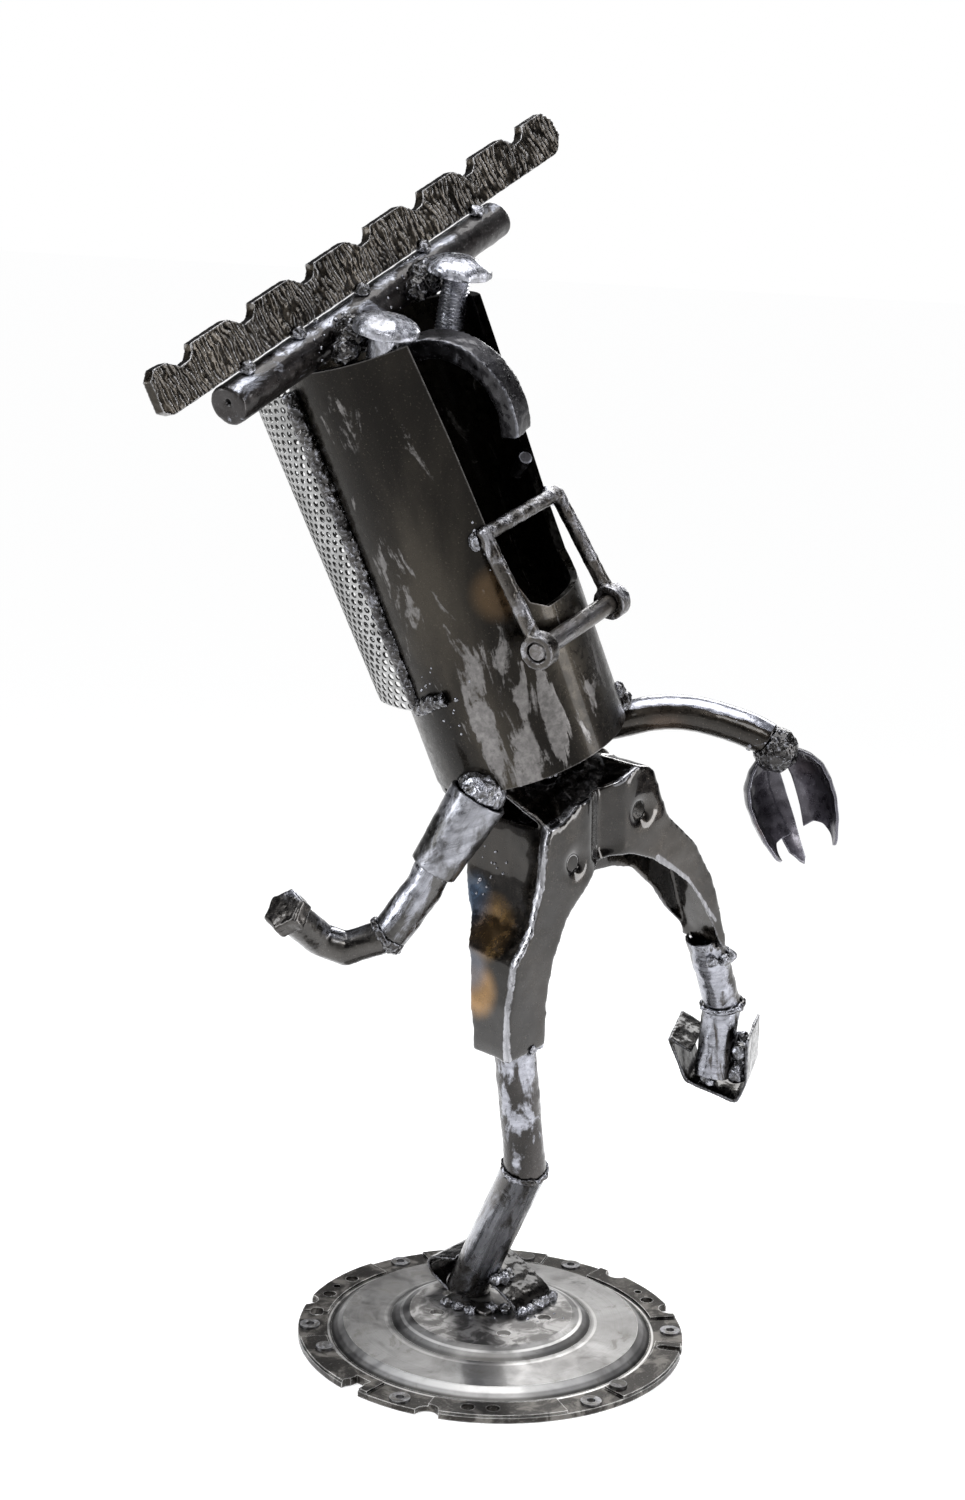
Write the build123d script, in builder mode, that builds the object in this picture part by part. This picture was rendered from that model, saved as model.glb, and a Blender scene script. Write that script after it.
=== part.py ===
from build123d import *
import os
from math import cos, sin, radians, hypot

os.makedirs("parts", exist_ok=True)

# Walking figure welded from scrap steel parts.  All dimensions in mm.
# Frame: origin at the middle of the base disc underside, +Z up,
# the figure faces -Y, its own left side is towards +X.

# ---------------------------------------------------------------- dimensions
# base: pressed clutch cover
RIM_R = 117.5          # outer radius of the rim
RIM_T = 3.5            # rim sheet thickness
RIVET_PCD = 220.6      # circle of the six tubular rivets
RIVET_A0 = -178.3      # angle of the first tubular rivet
RIVET_BORE = 2.6       # half of the bore through a tubular rivet
RIVET_OD_R = 4.6
HUB_R = 55.7
HUB_TOP = 15.9         # top of the raised hub above the floor
GROOVE_R = 97.4
SHEET = 3.0            # sheet thickness of the dome

# pipes and bars
PIPE_R = 13.45         # 3/4 in pipe, 26.9 OD (shin)
PIPE_WALL = 2.6
THIGH_R = 12.5
SLEEVE_R = 14.2
SLEEVE_TOP_R = 17.4
ARM_ROD_R = 11.2
FOREARM_R = 9.9
ARM_BAR_R = 10.5
BROW_R = 11.0
RAISED_R = 12.0

# head: 4 in pipe
HEAD_R = 57.15
HEAD_WALL = 4.0
HEAD_L = 253.0
HAIR_R = 46.8
HAIR_T = 1.2

# mouth shackle
BAIL_R = 4.5
EYE_R = 10.0
EYE_T = 10.0
PIN_R = 5.5
PIN_CLEAR = 0.06

# frames
HEAD_O = Vector(-14.1, -19.94, 374.9)
HEAD_F = Vector(-0.01863, -0.97248, 0.23224)     # forward out of the face
HEAD_A = Vector(-0.31493, 0.22617, 0.92177)      # up the tube
HIP_O = Vector(-39.45, -31.9, 196.64)
HIP_L = Vector(0.93544, -0.28599, 0.20774)       # across the hips, to the left
HIP_N = Vector(-0.28343, -0.95804, -0.04267)     # forward
KNEE = Vector(-23.1, -32.17, 122.64)
ANKLE = Vector(18.4, 27.19, 17.5)

head = Plane(origin=HEAD_O, x_dir=HEAD_F, z_dir=HEAD_A)   # x forward, y left, z up
hips = Plane(origin=HIP_O, x_dir=HIP_L, z_dir=HIP_N)      # x left, y up, z forward


def hp(x, y, z):
    return head.from_local_coords(Vector(x, y, z))


def pp(x, y, z):
    return hips.from_local_coords(Vector(x, y, z))


def rod(p, q, r):
    p, q = Vector(p), Vector(q)
    d = q - p
    return Plane(origin=p, z_dir=d) * Cylinder(r, d.length, align=(Align.CENTER, Align.CENTER, Align.MIN))


def tube(p, q, r, t):
    p, q = Vector(p), Vector(q)
    d = q - p
    pl = Plane(origin=p, z_dir=d)
    return pl * Cylinder(r, d.length, align=(Align.CENTER, Align.CENTER, Align.MIN)) \
        - pl * Cylinder(r - t, d.length * 3, align=(Align.CENTER, Align.CENTER, Align.CENTER))


def ball(p, r):
    return Pos(*Vector(p)) * Sphere(r)


def at(a, r, z=0.0):
    return (r * cos(radians(a)), r * sin(radians(a)), z)


def save(bp, label):
    bp.part.label = label
    export_step(bp.part, "parts/%s.step" % label)


# ---------------------------------------------------------------- base disc
rivet_angles = [RIVET_A0 + 60 * k for k in range(6)]
hub_hole_angles = [131.0, 80.0, 26.0, -28.0, -76.0, -137.0]
prof = [
    (0, HUB_TOP), (HUB_R - 6, HUB_TOP), (HUB_R, HUB_TOP - 2.2), (HUB_R + 5, 10.6), (HUB_R + 9, 10.2),
    (90.0, 9.4), (GROOVE_R - 2.5, 5.6), (GROOVE_R, RIM_T + 0.2), (GROOVE_R + 2.0, RIM_T), (RIM_R, RIM_T),
    (RIM_R, 0), (GROOVE_R - 1.0, 0), (GROOVE_R - 5.0, 2.2), (88.5, 6.4), (HUB_R + 8.5, 7.2),
    (HUB_R + 2.5, 7.6), (HUB_R - 3.0, HUB_TOP - 4.6), (HUB_R - 7, HUB_TOP - SHEET), (0, HUB_TOP - SHEET),
]
with BuildPart() as base_disc:
    with BuildSketch(Plane.XZ) as _bs:
        with BuildLine() as _bl:
            Polyline(*prof, close=True)
        make_face()
    revolve(axis=Axis.Z)
    # raised edge segments between the flat rivet pads
    with BuildSketch(Plane.XY.offset(RIM_T)) as _sg:
        for k in range(6):
            a0 = rivet_angles[k] + 9.5
            a1 = rivet_angles[k] + 50.5
            pts_o = [at(a0 + (a1 - a0) * i / 10, RIM_R - 0.6)[:2] for i in range(11)]
            pts_i = [at(a0 + (a1 - a0) * i / 10, GROOVE_R + 3.6)[:2] for i in range(10, -1, -1)]
            with BuildLine() as _l:
                Polyline(*(pts_o + pts_i), close=True)
            make_face()
    extrude(amount=1.5)
    # tubular rivet seats
    with Locations(*[Location(at(a, RIVET_PCD / 2, RIM_T / 2)) for a in rivet_angles]):
        Cylinder(RIVET_OD_R, 8, mode=Mode.SUBTRACT)
    # plain rim holes
    with Locations(*[Location(at(a, 108.2, 2)) for a in (84.4, 98.6, 112.0, -35.5, -157.0, -149.3)]):
        Cylinder(4.0, 12, mode=Mode.SUBTRACT)
    with Locations(*[Location(at(a, 109.5, 2)) for a in (92.1, -28.7)]):
        Cylinder(2.2, 12, mode=Mode.SUBTRACT)
    # edge notches
    with Locations(*[Location(at(a, r, 2)) for a, r in ((165.7, 115.5), (-168.2, 117.8), (-14.2, 117.4), (-43.5, 117.0), (105.0, 118.4))]):
        Cylinder(7.0, 12, mode=Mode.SUBTRACT)
    with Locations(Location(at(165.7, 112.0, 2), (0, 0, 165.7))):
        Box(12, 11, 12, mode=Mode.SUBTRACT)
    # open radial slot
    with Locations(Location(at(-71.9, 113.0, 2), (0, 0, -71.9))):
        Box(14, 6.0, 12, mode=Mode.SUBTRACT)
    with Locations(Location(at(-71.9, 106.0, 2))):
        Cylinder(3.0, 12, mode=Mode.SUBTRACT)
    # solid rivet seats
    with Locations(*[Location(at(a, 106.0, 2)) for a in (-105.4, 140.6, 17.0)]):
        Cylinder(3.2, 12, mode=Mode.SUBTRACT)
    # hub holes
    with Locations(*[Location(at(a, 33.5, HUB_TOP - 1)) for a in hub_hole_angles]):
        Cylinder(4.3, 12, mode=Mode.SUBTRACT)

with BuildPart() as rim_tubular_rivets:
    with Locations(*[Location(at(a, RIVET_PCD / 2, 0)) for a in rivet_angles]):
        Cylinder(RIVET_OD_R, RIM_T + 1.2, align=(Align.CENTER, Align.CENTER, Align.MIN))
    with Locations(*[Location(at(a, RIVET_PCD / 2, RIM_T)) for a in rivet_angles]):
        Cylinder(RIVET_OD_R + 1.5, 1.2, align=(Align.CENTER, Align.CENTER, Align.MIN))
    with Locations(*[Location(at(a, RIVET_PCD / 2, 0)) for a in rivet_angles]):
        Cylinder(RIVET_BORE, 30, mode=Mode.SUBTRACT)
    add(base_disc.part, mode=Mode.SUBTRACT)

with BuildPart() as rim_solid_rivets:
    with Locations(*[Location(at(a, 106.0, 0)) for a in (-105.4, 140.6, 17.0)]):
        Cylinder(3.2, 5.0, align=(Align.CENTER, Align.CENTER, Align.MIN))
        with Locations(Location((0, 0, 5.0))):
            Cylinder(5.2, 1.8, align=(Align.CENTER, Align.CENTER, Align.MIN))

# ---------------------------------------------------------------- head tube
with BuildPart() as head_tube:
    with BuildSketch(head) as _h:
        Circle(HEAD_R)
        Circle(HEAD_R - HEAD_WALL, mode=Mode.SUBTRACT)
    extrude(amount=HEAD_L)
    # face opening, cut by hand from the top edge down to the chin
    with BuildSketch(Plane(origin=HEAD_O, x_dir=HEAD_A.cross(HEAD_F), z_dir=HEAD_F)) as _f:
        with BuildLine() as _fl:
            Polyline((-41.5, 262), (-37.7, 198), (-35.5, 145), (-33.0, 116), (-27.5, 97), (-18.0, 89.5),
                     (20.0, 88.0), (34.0, 90.5), (40.5, 100.0), (41.2, 137), (36.8, 208), (35.0, 262), close=True)
        make_face()
    extrude(amount=90, mode=Mode.SUBTRACT)

# hair: perforated sheet bent into a half tube behind the head
HAIR_LEAN = 0.042      # the sheet comes closer to the head towards its lower end


def hair_x(h):
    return -34.6 - (h - 150.0) * HAIR_LEAN


hair_dir = (hp(hair_x(245.0), 0, 245.0) - hp(hair_x(44.5), 0, 44.5)).normalized()
hair_left = HEAD_A.cross(HEAD_F)
hair_frame = Plane(origin=hp(hair_x(44.5), 0, 44.5), x_dir=hair_left.cross(hair_dir), z_dir=hair_dir)
_head_env = rod(hp(0, 0, -20.0), hp(0, 0, 280.0), HEAD_R + 0.02)
with BuildPart() as hair_sheet:
    with BuildSketch(hair_frame) as _hs:
        Circle(HAIR_R)
        Circle(HAIR_R - HAIR_T, mode=Mode.SUBTRACT)
        with Locations((HAIR_R, 0)):
            Rectangle(HAIR_R * 2, HAIR_R * 3, mode=Mode.SUBTRACT)
    extrude(amount=200.5)
    # rounded lower end
    with BuildSketch(Plane(origin=hp(hair_x(44.5), 0, 44.5), x_dir=hair_left.cross(hair_dir), z_dir=hair_left)) as _hc:
        with BuildLine() as _hcl:
            Polyline((-60, -10), (-60, 40), (-48, 22), (-40, 12), (-26, 5), (-10, 1.5), (2, 0), (2, -10), close=True)
        make_face()
    extrude(amount=70, both=True, mode=Mode.SUBTRACT)
    add(_head_env, mode=Mode.SUBTRACT)

_wn = rod(hp(hair_x(50.0) + 1.5, -48.6, 50.0), hp(hair_x(243.0) + 1.5, -48.6, 243.0), 4.3)
_wf = rod(hp(hair_x(50.0) + 1.5, 48.6, 50.0), hp(hair_x(243.0) + 1.5, 48.6, 243.0), 4.3)
with BuildPart() as hair_weld_right:
    add(_wn)
    add(head_tube.part, mode=Mode.SUBTRACT)
    add(hair_sheet.part, mode=Mode.SUBTRACT)
with BuildPart() as hair_weld_left:
    add(_wf)
    add(head_tube.part, mode=Mode.SUBTRACT)
    add(hair_sheet.part, mode=Mode.SUBTRACT)

def skin(a_deg, h, r=HEAD_R + 1.5):
    return hp(r * cos(radians(a_deg)), r * sin(radians(a_deg)), h)

_c1 = rod(skin(-118, 53), skin(-104, 58), 4.6)
_c2 = rod(skin(-104, 58), skin(-93, 60), 4.0)
_c3 = ball(skin(-104, 58), 4.6)
with BuildPart() as hair_weld_chin:
    add(_c1)
    add(_c2)
    add(_c3)
    add(head_tube.part, mode=Mode.SUBTRACT)
    add(hair_sheet.part, mode=Mode.SUBTRACT)
    add(hair_weld_right.part, mode=Mode.SUBTRACT)

# ---------------------------------------------------------------- brow bar and crest
BROW_D = Vector(0.109, 0.9937, 0.0248)      # along the bar, head frame
def bp_(s, dx=0.0, dz=0.0):
    return hp(-7.0 + BROW_D.X * s + dx, BROW_D.Y * s, HEAD_L + BROW_R + 1.6 + BROW_D.Z * s + dz)

_bar = rod(bp_(-124.6), bp_(139.0), BROW_R)
_barhole = rod(bp_(-126.0, 1.5, 2.0), bp_(-114.0, 1.5, 2.0), 1.7)
with BuildPart() as brow_bar:
    add(_bar)
    chamfer(brow_bar.edges(), length=1.2)
    add(_barhole, mode=Mode.SUBTRACT)

CREST_T = 7.0
CREST_H = 26.0
TOOTH = 53.8
crest_x = (bp_(1) - bp_(0)).normalized()
crest_up0 = HEAD_A - crest_x * HEAD_A.dot(crest_x)
crest_plane = Plane(origin=bp_(0, 0, 0), x_dir=crest_x, z_dir=crest_x.cross(crest_up0))
cy0 = BROW_R + 1.6
s0 = -134.1
pts = [(s0 - 36.0, cy0 + 4.0), (s0 - 36.0, cy0 + CREST_H - 5.5), (s0 - 31.0, cy0 + CREST_H - 0.8), (s0 - 21.5, cy0 + CREST_H - 1.2),
       (s0 - 16.5, cy0 + CREST_H - 4.4), (s0 - 12.6, cy0 + CREST_H - 7.2), (s0 - 4.5, cy0 + CREST_H - 6.6), (s0 - 1.2, cy0 + CREST_H - 3.4), (s0, cy0 + CREST_H)]
for k in range(6):
    b = s0 + k * TOOTH
    pts += [(b + 30.5, cy0 + CREST_H), (b + 37.3, cy0 + CREST_H - 4.3), (b + 41.2, cy0 + CREST_H - 7.2),
            (b + 48.8, cy0 + CREST_H - 6.6), (b + 52.4, cy0 + CREST_H - 3.4), (b + 53.8, cy0 + CREST_H)]
b = s0 + 6 * TOOTH
pts += [(b + 22.0, cy0 + CREST_H), (b + 30.0, cy0 + CREST_H - 7.0), (b + 33.0, cy0 + 9.0), (b + 27.0, cy0 + 1.5), (b + 23.0, cy0)]
pts += [(s0 - 30.0, cy0)]
with BuildPart() as crest_plate:
    with BuildSketch(crest_plane.offset(-CREST_T / 2)) as _cs:
        with BuildLine() as _cl:
            Polyline(*pts, close=True)
        make_face()
    extrude(amount=CREST_T)

_tacks = []
for s_, side in ((-105, 1), (-60, 1), (0, 1), (62, 1), (118, 1)):
    _tacks.append(ball(bp_(s_, 3.9, BROW_R + 0.6), 4.4))
with BuildPart() as crest_tacks:
    for t_ in _tacks:
        add(t_)
    add(brow_bar.part, mode=Mode.SUBTRACT)
    add(crest_plate.part, mode=Mode.SUBTRACT)

# ---------------------------------------------------------------- eyes: domed bolts
BOLT_D = Vector(0.445, 0.168, 0.879)        # head frame
bolt_dir = (hp(*BOLT_D) - hp(0, 0, 0)).normalized()
EYE_NEAR = hp(29.0, -40.5, 262.0)
EYE_FAR = hp(33.0, 39.5, 265.5)

def bolt_profile():
    # mushroom head on a straight shank, (radius, height) from the underside of the head
    return [(0, 10.5), (7.5, 10.0), (13.5, 8.0), (17.6, 5.2), (19.4, 2.6), (19.2, 0.6), (18.6, 0), (8.0, 0), (8.0, -33.0), (7.0, -34.5), (0, -34.5)]

def bolt(p):
    pl = Plane(origin=p, z_dir=bolt_dir)
    sk = Plane(origin=p, x_dir=pl.x_dir, z_dir=-pl.y_dir)
    return pl, sk

_pl, _sk = bolt(EYE_NEAR)
with BuildPart() as eye_bolt_right:
    with BuildSketch(_sk) as _e1:
        with BuildLine() as _e1l:
            Polyline(*bolt_profile(), close=True)
        make_face()
    revolve(axis=Axis(origin=EYE_NEAR, direction=bolt_dir))
    add(brow_bar.part, mode=Mode.SUBTRACT)
    add(head_tube.part, mode=Mode.SUBTRACT)
_pl, _sk = bolt(EYE_FAR)
with BuildPart() as eye_bolt_left:
    with BuildSketch(_sk) as _e2:
        with BuildLine() as _e2l:
            Polyline(*bolt_profile(), close=True)
        make_face()
    revolve(axis=Axis(origin=EYE_FAR, direction=bolt_dir))
    add(brow_bar.part, mode=Mode.SUBTRACT)
    add(head_tube.part, mode=Mode.SUBTRACT)

_ew1 = [ball(hp(8.0, -38.0, 264.0), 10.5), ball(hp(8.0, -50.0, 259.0), 7.5)]
_ew2 = [ball(hp(12.0, 41.0, 267.0), 10.5), ball(hp(10.0, 31.0, 264.0), 7.0)]
with BuildPart() as eye_weld_right:
    for t_ in _ew1:
        add(t_)
    for o_ in (brow_bar, head_tube, eye_bolt_right):
        add(o_.part, mode=Mode.SUBTRACT)
with BuildPart() as eye_weld_left:
    for t_ in _ew2:
        add(t_)
    for o_ in (brow_bar, head_tube, eye_bolt_left):
        add(o_.part, mode=Mode.SUBTRACT)

# ---------------------------------------------------------------- nose hook
nose_plane = Plane(origin=hp(0, 0, 0), x_dir=HEAD_F, z_dir=HEAD_F.cross(HEAD_A))  # x forward, y up
NOSE_C = (24.0, 200.0)
NOSE_RO = 47.0
NOSE_RI = 35.0
_arc = []
for i in range(0, 19):
    t_ = -22 + (104 + 22) * i / 18
    _arc.append((NOSE_C[0] + NOSE_RO * cos(radians(t_)) * 0.94, NOSE_C[1] + NOSE_RO * sin(radians(t_))))
_arc += [(-4.0, 252.5), (-9.0, 252.0), (-9.0, 243.0), (4.0, 238.5)]
for i in range(0, 17):
    t_ = 98 - (98 + 26) * i / 16
    _arc.append((NOSE_C[0] + NOSE_RI * cos(radians(t_)) * 0.94, NOSE_C[1] + NOSE_RI * sin(radians(t_))))
with BuildPart() as nose_hook:
    with BuildSketch(nose_plane) as _ns:
        with BuildLine() as _nl:
            Polyline(*_arc, close=True)
        make_face()
    extrude(amount=9.0, both=True)
    add(brow_bar.part, mode=Mode.SUBTRACT)

_stub = rod(hp(22.0, 47.6, 146.0), hp(38.0, 36.0, 158.0), 4.0)
with BuildPart() as inner_stub:
    add(_stub)
    add(head_tube.part, mode=Mode.SUBTRACT)

# ---------------------------------------------------------------- mouth shackle
E1 = Vector(60.8, -51.0, 78.2)
E2 = Vector(64.9, 29.3, 68.6)
T1 = Vector(44.6, -39.9, 143.7)
T2 = Vector(46.8, 40.0, 133.0)
pin_dir_l = (E2 - E1).normalized()
e1w, e2w = hp(*E1), hp(*E2)
pin_dir = (e2w - e1w).normalized()
_leg1 = rod(hp(*T1), e1w + (hp(*T1) - e1w).normalized() * (EYE_R - 2.5), BAIL_R)
_leg2 = rod(hp(*T2), e2w + (hp(*T2) - e2w).normalized() * (EYE_R - 2.5), BAIL_R)
_crs = rod(hp(*T1), hp(*T2), BAIL_R)
_j1, _j2 = ball(hp(*T1), BAIL_R), ball(hp(*T2), BAIL_R)
_eye1 = rod(e1w - pin_dir * (EYE_T / 2), e1w + pin_dir * (EYE_T / 2), EYE_R)
_eye2 = rod(e2w - pin_dir * (EYE_T / 2), e2w + pin_dir * (EYE_T / 2), EYE_R)
_bore = rod(e1w - pin_dir * 20, e2w + pin_dir * 20, PIN_R + PIN_CLEAR)
with BuildPart() as mouth_shackle:
    for t_ in (_crs, _j1, _j2, _leg1, _leg2, _eye1, _eye2):
        add(t_)
    add(_bore, mode=Mode.SUBTRACT)
    add(head_tube.part, mode=Mode.SUBTRACT)

_pin = rod(e1w - pin_dir * 4.2, e2w + pin_dir * 4.2, PIN_R)
with BuildPart() as mouth_pin:
    add(_pin)
    chamfer(mouth_pin.edges(), length=1.2)

_bw1 = ball(hp(39.9, -40.9, 141.6), 5.6)
_bw2 = ball(hp(41.3, 42.3, 131.4), 5.6)
with BuildPart() as shackle_weld_right:
    add(_bw1)
    for o_ in (mouth_shackle, head_tube):
        add(o_.part, mode=Mode.SUBTRACT)
with BuildPart() as shackle_weld_left:
    add(_bw2)
    for o_ in (mouth_shackle, head_tube):
        add(o_.part, mode=Mode.SUBTRACT)

# ---------------------------------------------------------------- pelvis: pressed channel fork
P_T = 3.0
P_F = 16.0
P_B = -34.0
P_BD = -49.0
P_BF = -20.0
ridge = [(-20.0, 8.0), (-20.0, 16.0), (-16.0, 39.0), (-7.0, 67.0), (7.0, 81.0), (18.0, 106.0), (24.0, 128.0), (27.0, 135.0)]
top = [(37.0, 136.0), (52.0, 144.0), (79.0, 144.0), (102.0, 150.0), (111.0, 147.0), (116.0, 142.0)]
far_out = [(119.0, 128.0), (124.0, 111.0), (146.0, 85.0), (159.0, 56.0), (164.0, 30.0), (167.0, 13.0), (166.0, 5.0)]
far_in = [(160.5, 10.0), (155.5, 25.0), (147.0, 44.0), (137.0, 60.0), (125.0, 73.0), (109.0, 87.0), (92.0, 96.5), (79.0, 100.0), (66.0, 100.0)]
near_in = [(56.0, 92.5), (37.0, 78.0), (23.0, 57.0), (15.0, 35.0), (11.0, 7.0)]
near_web_in = [(-17.0, 8.0), (-17.0, 16.0), (-13.2, 38.0), (-4.4, 65.2), (9.6, 79.4), (20.9, 105.2), (27.2, 126.6), (30.5, 133.0)]
top_in = [(37.9, 133.0), (52.8, 141.0), (79.4, 141.0), (101.8, 146.8), (109.4, 144.2), (113.0, 140.6)]
far_web_in = [(116.1, 127.2), (121.4, 109.6), (143.2, 83.6), (156.0, 55.2), (161.0, 29.5), (164.0, 12.6), (163.0, 5.6)]
with BuildPart() as pelvis_fork:
    # front flange with its two bolt holes
    with BuildSketch(hips.offset(P_F - P_T)) as _p1:
        with BuildLine() as _p1l:
            Polyline(*(ridge + top + far_out + far_in + near_in), close=True)
        make_face()
        with Locations((46.0, 109.0), (102.0, 121.0)):
            Circle(4.2, mode=Mode.SUBTRACT)
    extrude(amount=P_T)
    # outer web of the near leg and under the shelf
    with BuildSketch(hips.offset(P_B)) as _p2:
        with BuildLine() as _p2l:
            Polyline(*(ridge + top + list(reversed(near_web_in + top_in))), close=True)
        make_face()
    extrude(amount=P_F - P_B)
    # the outer web gets deeper towards the hip
    with BuildSketch(hips.offset(P_BD)) as _p8:
        with BuildLine() as _p8l:
            Polyline(*(ridge[3:] + list(reversed(near_web_in[3:]))), close=True)
        make_face()
    extrude(amount=P_B - P_BD)
    # sloping shelf that carries the head
    with BuildSketch(Plane(origin=pp(28.0, 0, 0), x_dir=HIP_N, z_dir=HIP_L)) as _p5:
        with BuildLine() as _p5l:
            Polyline((P_F, -133.0), (P_F, -136.2), (P_B, -155.5), (P_B, -132.0), (P_B + P_T, -132.0), (P_B + P_T, -151.2), close=True)
        make_face()
    extrude(amount=84.0)
    # back flange of the upper part
    with BuildSketch(hips.offset(P_B)) as _p3:
        with BuildLine() as _p3l:
            Polyline((2.0, 74.5), (7.0, 81.0), (18.0, 106.0), (24.0, 128.0), (27.0, 135.0), (28.0, 150.0), (112.0, 150.0), (114.0, 142.0),
                     (112.0, 126.0), (96.0, 118.0), (60.0, 120.0), (40.0, 114.0), (26.0, 92.0), (14.0, 74.0), close=True)
        make_face()
    extrude(amount=P_T)
    # lower back corner of the near web narrows towards the foot
    with BuildSketch(Plane(origin=pp(-60.0, 0, 0), x_dir=HIP_N, z_dir=HIP_L)) as _p4:
        with BuildLine() as _p4l:
            Polyline((-60, 20), (-14.5, 20), (-14.5, -20.0), (-18.2, -40.0), (-22.2, -60.0), (-30.0, -74.0), (-39.5, -85.0), (-44.6, -95.0),
                     (-47.6, -105.0), (-47.6, -114.0), (-42.0, -126.0), (-33.0, -137.0), (-60, -137.0), close=True)
        make_face()
    extrude(amount=120.0, mode=Mode.SUBTRACT)
    # far leg: narrower channel
    with BuildSketch(hips.offset(P_BF)) as _p6:
        with BuildLine() as _p6l:
            Polyline(*([(116.0, 142.0)] + far_out + list(reversed(far_web_in)) + [(113.0, 140.6)]), close=True)
        make_face()
    extrude(amount=P_F - P_BF)
    with BuildSketch(hips.offset(P_BF)) as _p7:
        with BuildLine() as _p7l:
            Polyline(*([(96.0, 128.0), (110.0, 138.0), (116.0, 142.0)] + far_out + [(163.0, 10.0), (160.5, 16.0), (148.7, 31.0), (138.7, 48.5), (123.0, 66.8), (109.5, 72.6), (96.0, 76.0), (80.0, 78.0), (69.0, 82.0), (66.0, 92.0), (72.0, 106.0), (88.0, 114.0)]), close=True)
        make_face()
    extrude(amount=P_T)

# ---------------------------------------------------------------- standing leg
shin_d = (KNEE - ANKLE).normalized()
thigh_d = (HIP_O - KNEE).normalized()
mid_dir = (thigh_d + shin_d).normalized()
_knee = Plane(origin=KNEE, z_dir=mid_dir)
_shin_full = tube(ANKLE - shin_d * 12.0, KNEE + shin_d * 22.0, PIPE_R, PIPE_WALL)
_shin_env = rod(ANKLE - shin_d * 12.0, KNEE + shin_d * 10.0, PIPE_R + 0.3)
_thigh_full = tube(KNEE - thigh_d * 22.0, HIP_O + thigh_d * 16.0, THIGH_R, PIPE_WALL)
_above = _knee * Box(120, 120, 120, align=(Align.CENTER, Align.CENTER, Align.MIN))
_below = _knee * Box(120, 120, 120, align=(Align.CENTER, Align.CENTER, Align.MAX))
_floor = Pos(0, 0, HUB_TOP) * Box(400, 400, 120, align=(Align.CENTER, Align.CENTER, Align.MAX))
with BuildPart() as shin_right:
    add(_shin_full)
    add(_above, mode=Mode.SUBTRACT)
    add(_floor, mode=Mode.SUBTRACT)
with BuildPart() as thigh_right:
    add(_thigh_full)
    add(_below, mode=Mode.SUBTRACT)
    add(pelvis_fork.part, mode=Mode.SUBTRACT)

_kw = _knee * Torus(PIPE_R - 1.3, 2.4)
_a1 = rod(KNEE - mid_dir * 9, KNEE + mid_dir * 9, THIGH_R - 1.2)
with BuildPart() as knee_weld_right:
    add(_kw)
    add(shin_right.part, mode=Mode.SUBTRACT)
    add(thigh_right.part, mode=Mode.SUBTRACT)
    add(_a1, mode=Mode.SUBTRACT)

_hw = [ball(pp(0.0, 9.5, 12.6), 4.6), ball(pp(-8.5, 9.5, 10.0), 4.2), ball(pp(8.0, 9.0, 10.5), 4.2)]
_a2 = rod(KNEE, HIP_O + thigh_d * 30.0, THIGH_R)
with BuildPart() as hip_weld_right:
    for t_ in _hw:
        add(t_)
    add(_a2, mode=Mode.SUBTRACT)
    add(pelvis_fork.part, mode=Mode.SUBTRACT)


def strip(pts_, t):
    """Closed outline of a bent strip: the given line is its outer face."""
    n_ = len(pts_)
    inner = []
    for i in range(n_):
        if i == 0:
            dx, dy = pts_[1][0] - pts_[0][0], pts_[1][1] - pts_[0][1]
            m_ = hypot(dx, dy)
            inner.append((pts_[0][0] + dy / m_ * t, pts_[0][1] - dx / m_ * t))
        elif i == n_ - 1:
            dx, dy = pts_[-1][0] - pts_[-2][0], pts_[-1][1] - pts_[-2][1]
            m_ = hypot(dx, dy)
            inner.append((pts_[-1][0] + dy / m_ * t, pts_[-1][1] - dx / m_ * t))
        else:
            ax, ay = pts_[i][0] - pts_[i - 1][0], pts_[i][1] - pts_[i - 1][1]
            bx, by = pts_[i + 1][0] - pts_[i][0], pts_[i + 1][1] - pts_[i][1]
            ma, mb = hypot(ax, ay), hypot(bx, by)
            n1 = (ay / ma, -ax / ma)
            n2 = (by / mb, -bx / mb)
            k_ = 1 + n1[0] * n2[0] + n1[1] * n2[1]
            inner.append((pts_[i][0] + (n1[0] + n2[0]) / k_ * t, pts_[i][1] + (n1[1] + n2[1]) / k_ * t))
    return pts_ + inner[::-1]


# standing shoe: a bent strip over the ankle, open on both sides
SHOE_W = 38.0
SHOE_T = 2.4
heel_b = Vector(6.22, 33.66, HUB_TOP)
shoe_x = (Vector(-0.2, -18.3, HUB_TOP) - heel_b).normalized()
shoe_l = Vector(0, 0, 1).cross(shoe_x)
shoe_pl = Plane(origin=heel_b, x_dir=shoe_x, z_dir=shoe_l * -1)      # x towards the toe, y up
heel_line = [(-1.0, 0.0), (-15.0, 8.2), (-18.2, 12.6), (-18.6, 15.6), (-16.6, 19.2), (-12.6, 21.2), (8.0, 25.0)]
toe_line = [(8.0, 25.0), (16.0, 24.2), (21.7, 21.8), (47.0, 8.2), (49.4, 6.0), (52.2, 0.0)]
with BuildPart() as shoe_right:
    with BuildSketch(shoe_pl) as _sh:
        with BuildLine() as _shl:
            Polyline(*strip(heel_line + toe_line[1:], SHOE_T), close=True)
        make_face()
    extrude(amount=-SHOE_W)
    add(_shin_env, mode=Mode.SUBTRACT)
    add(_floor, mode=Mode.SUBTRACT)


def sh(x, l, z):
    return heel_b + shoe_x * x + shoe_l * l + Vector(0, 0, z)


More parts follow.
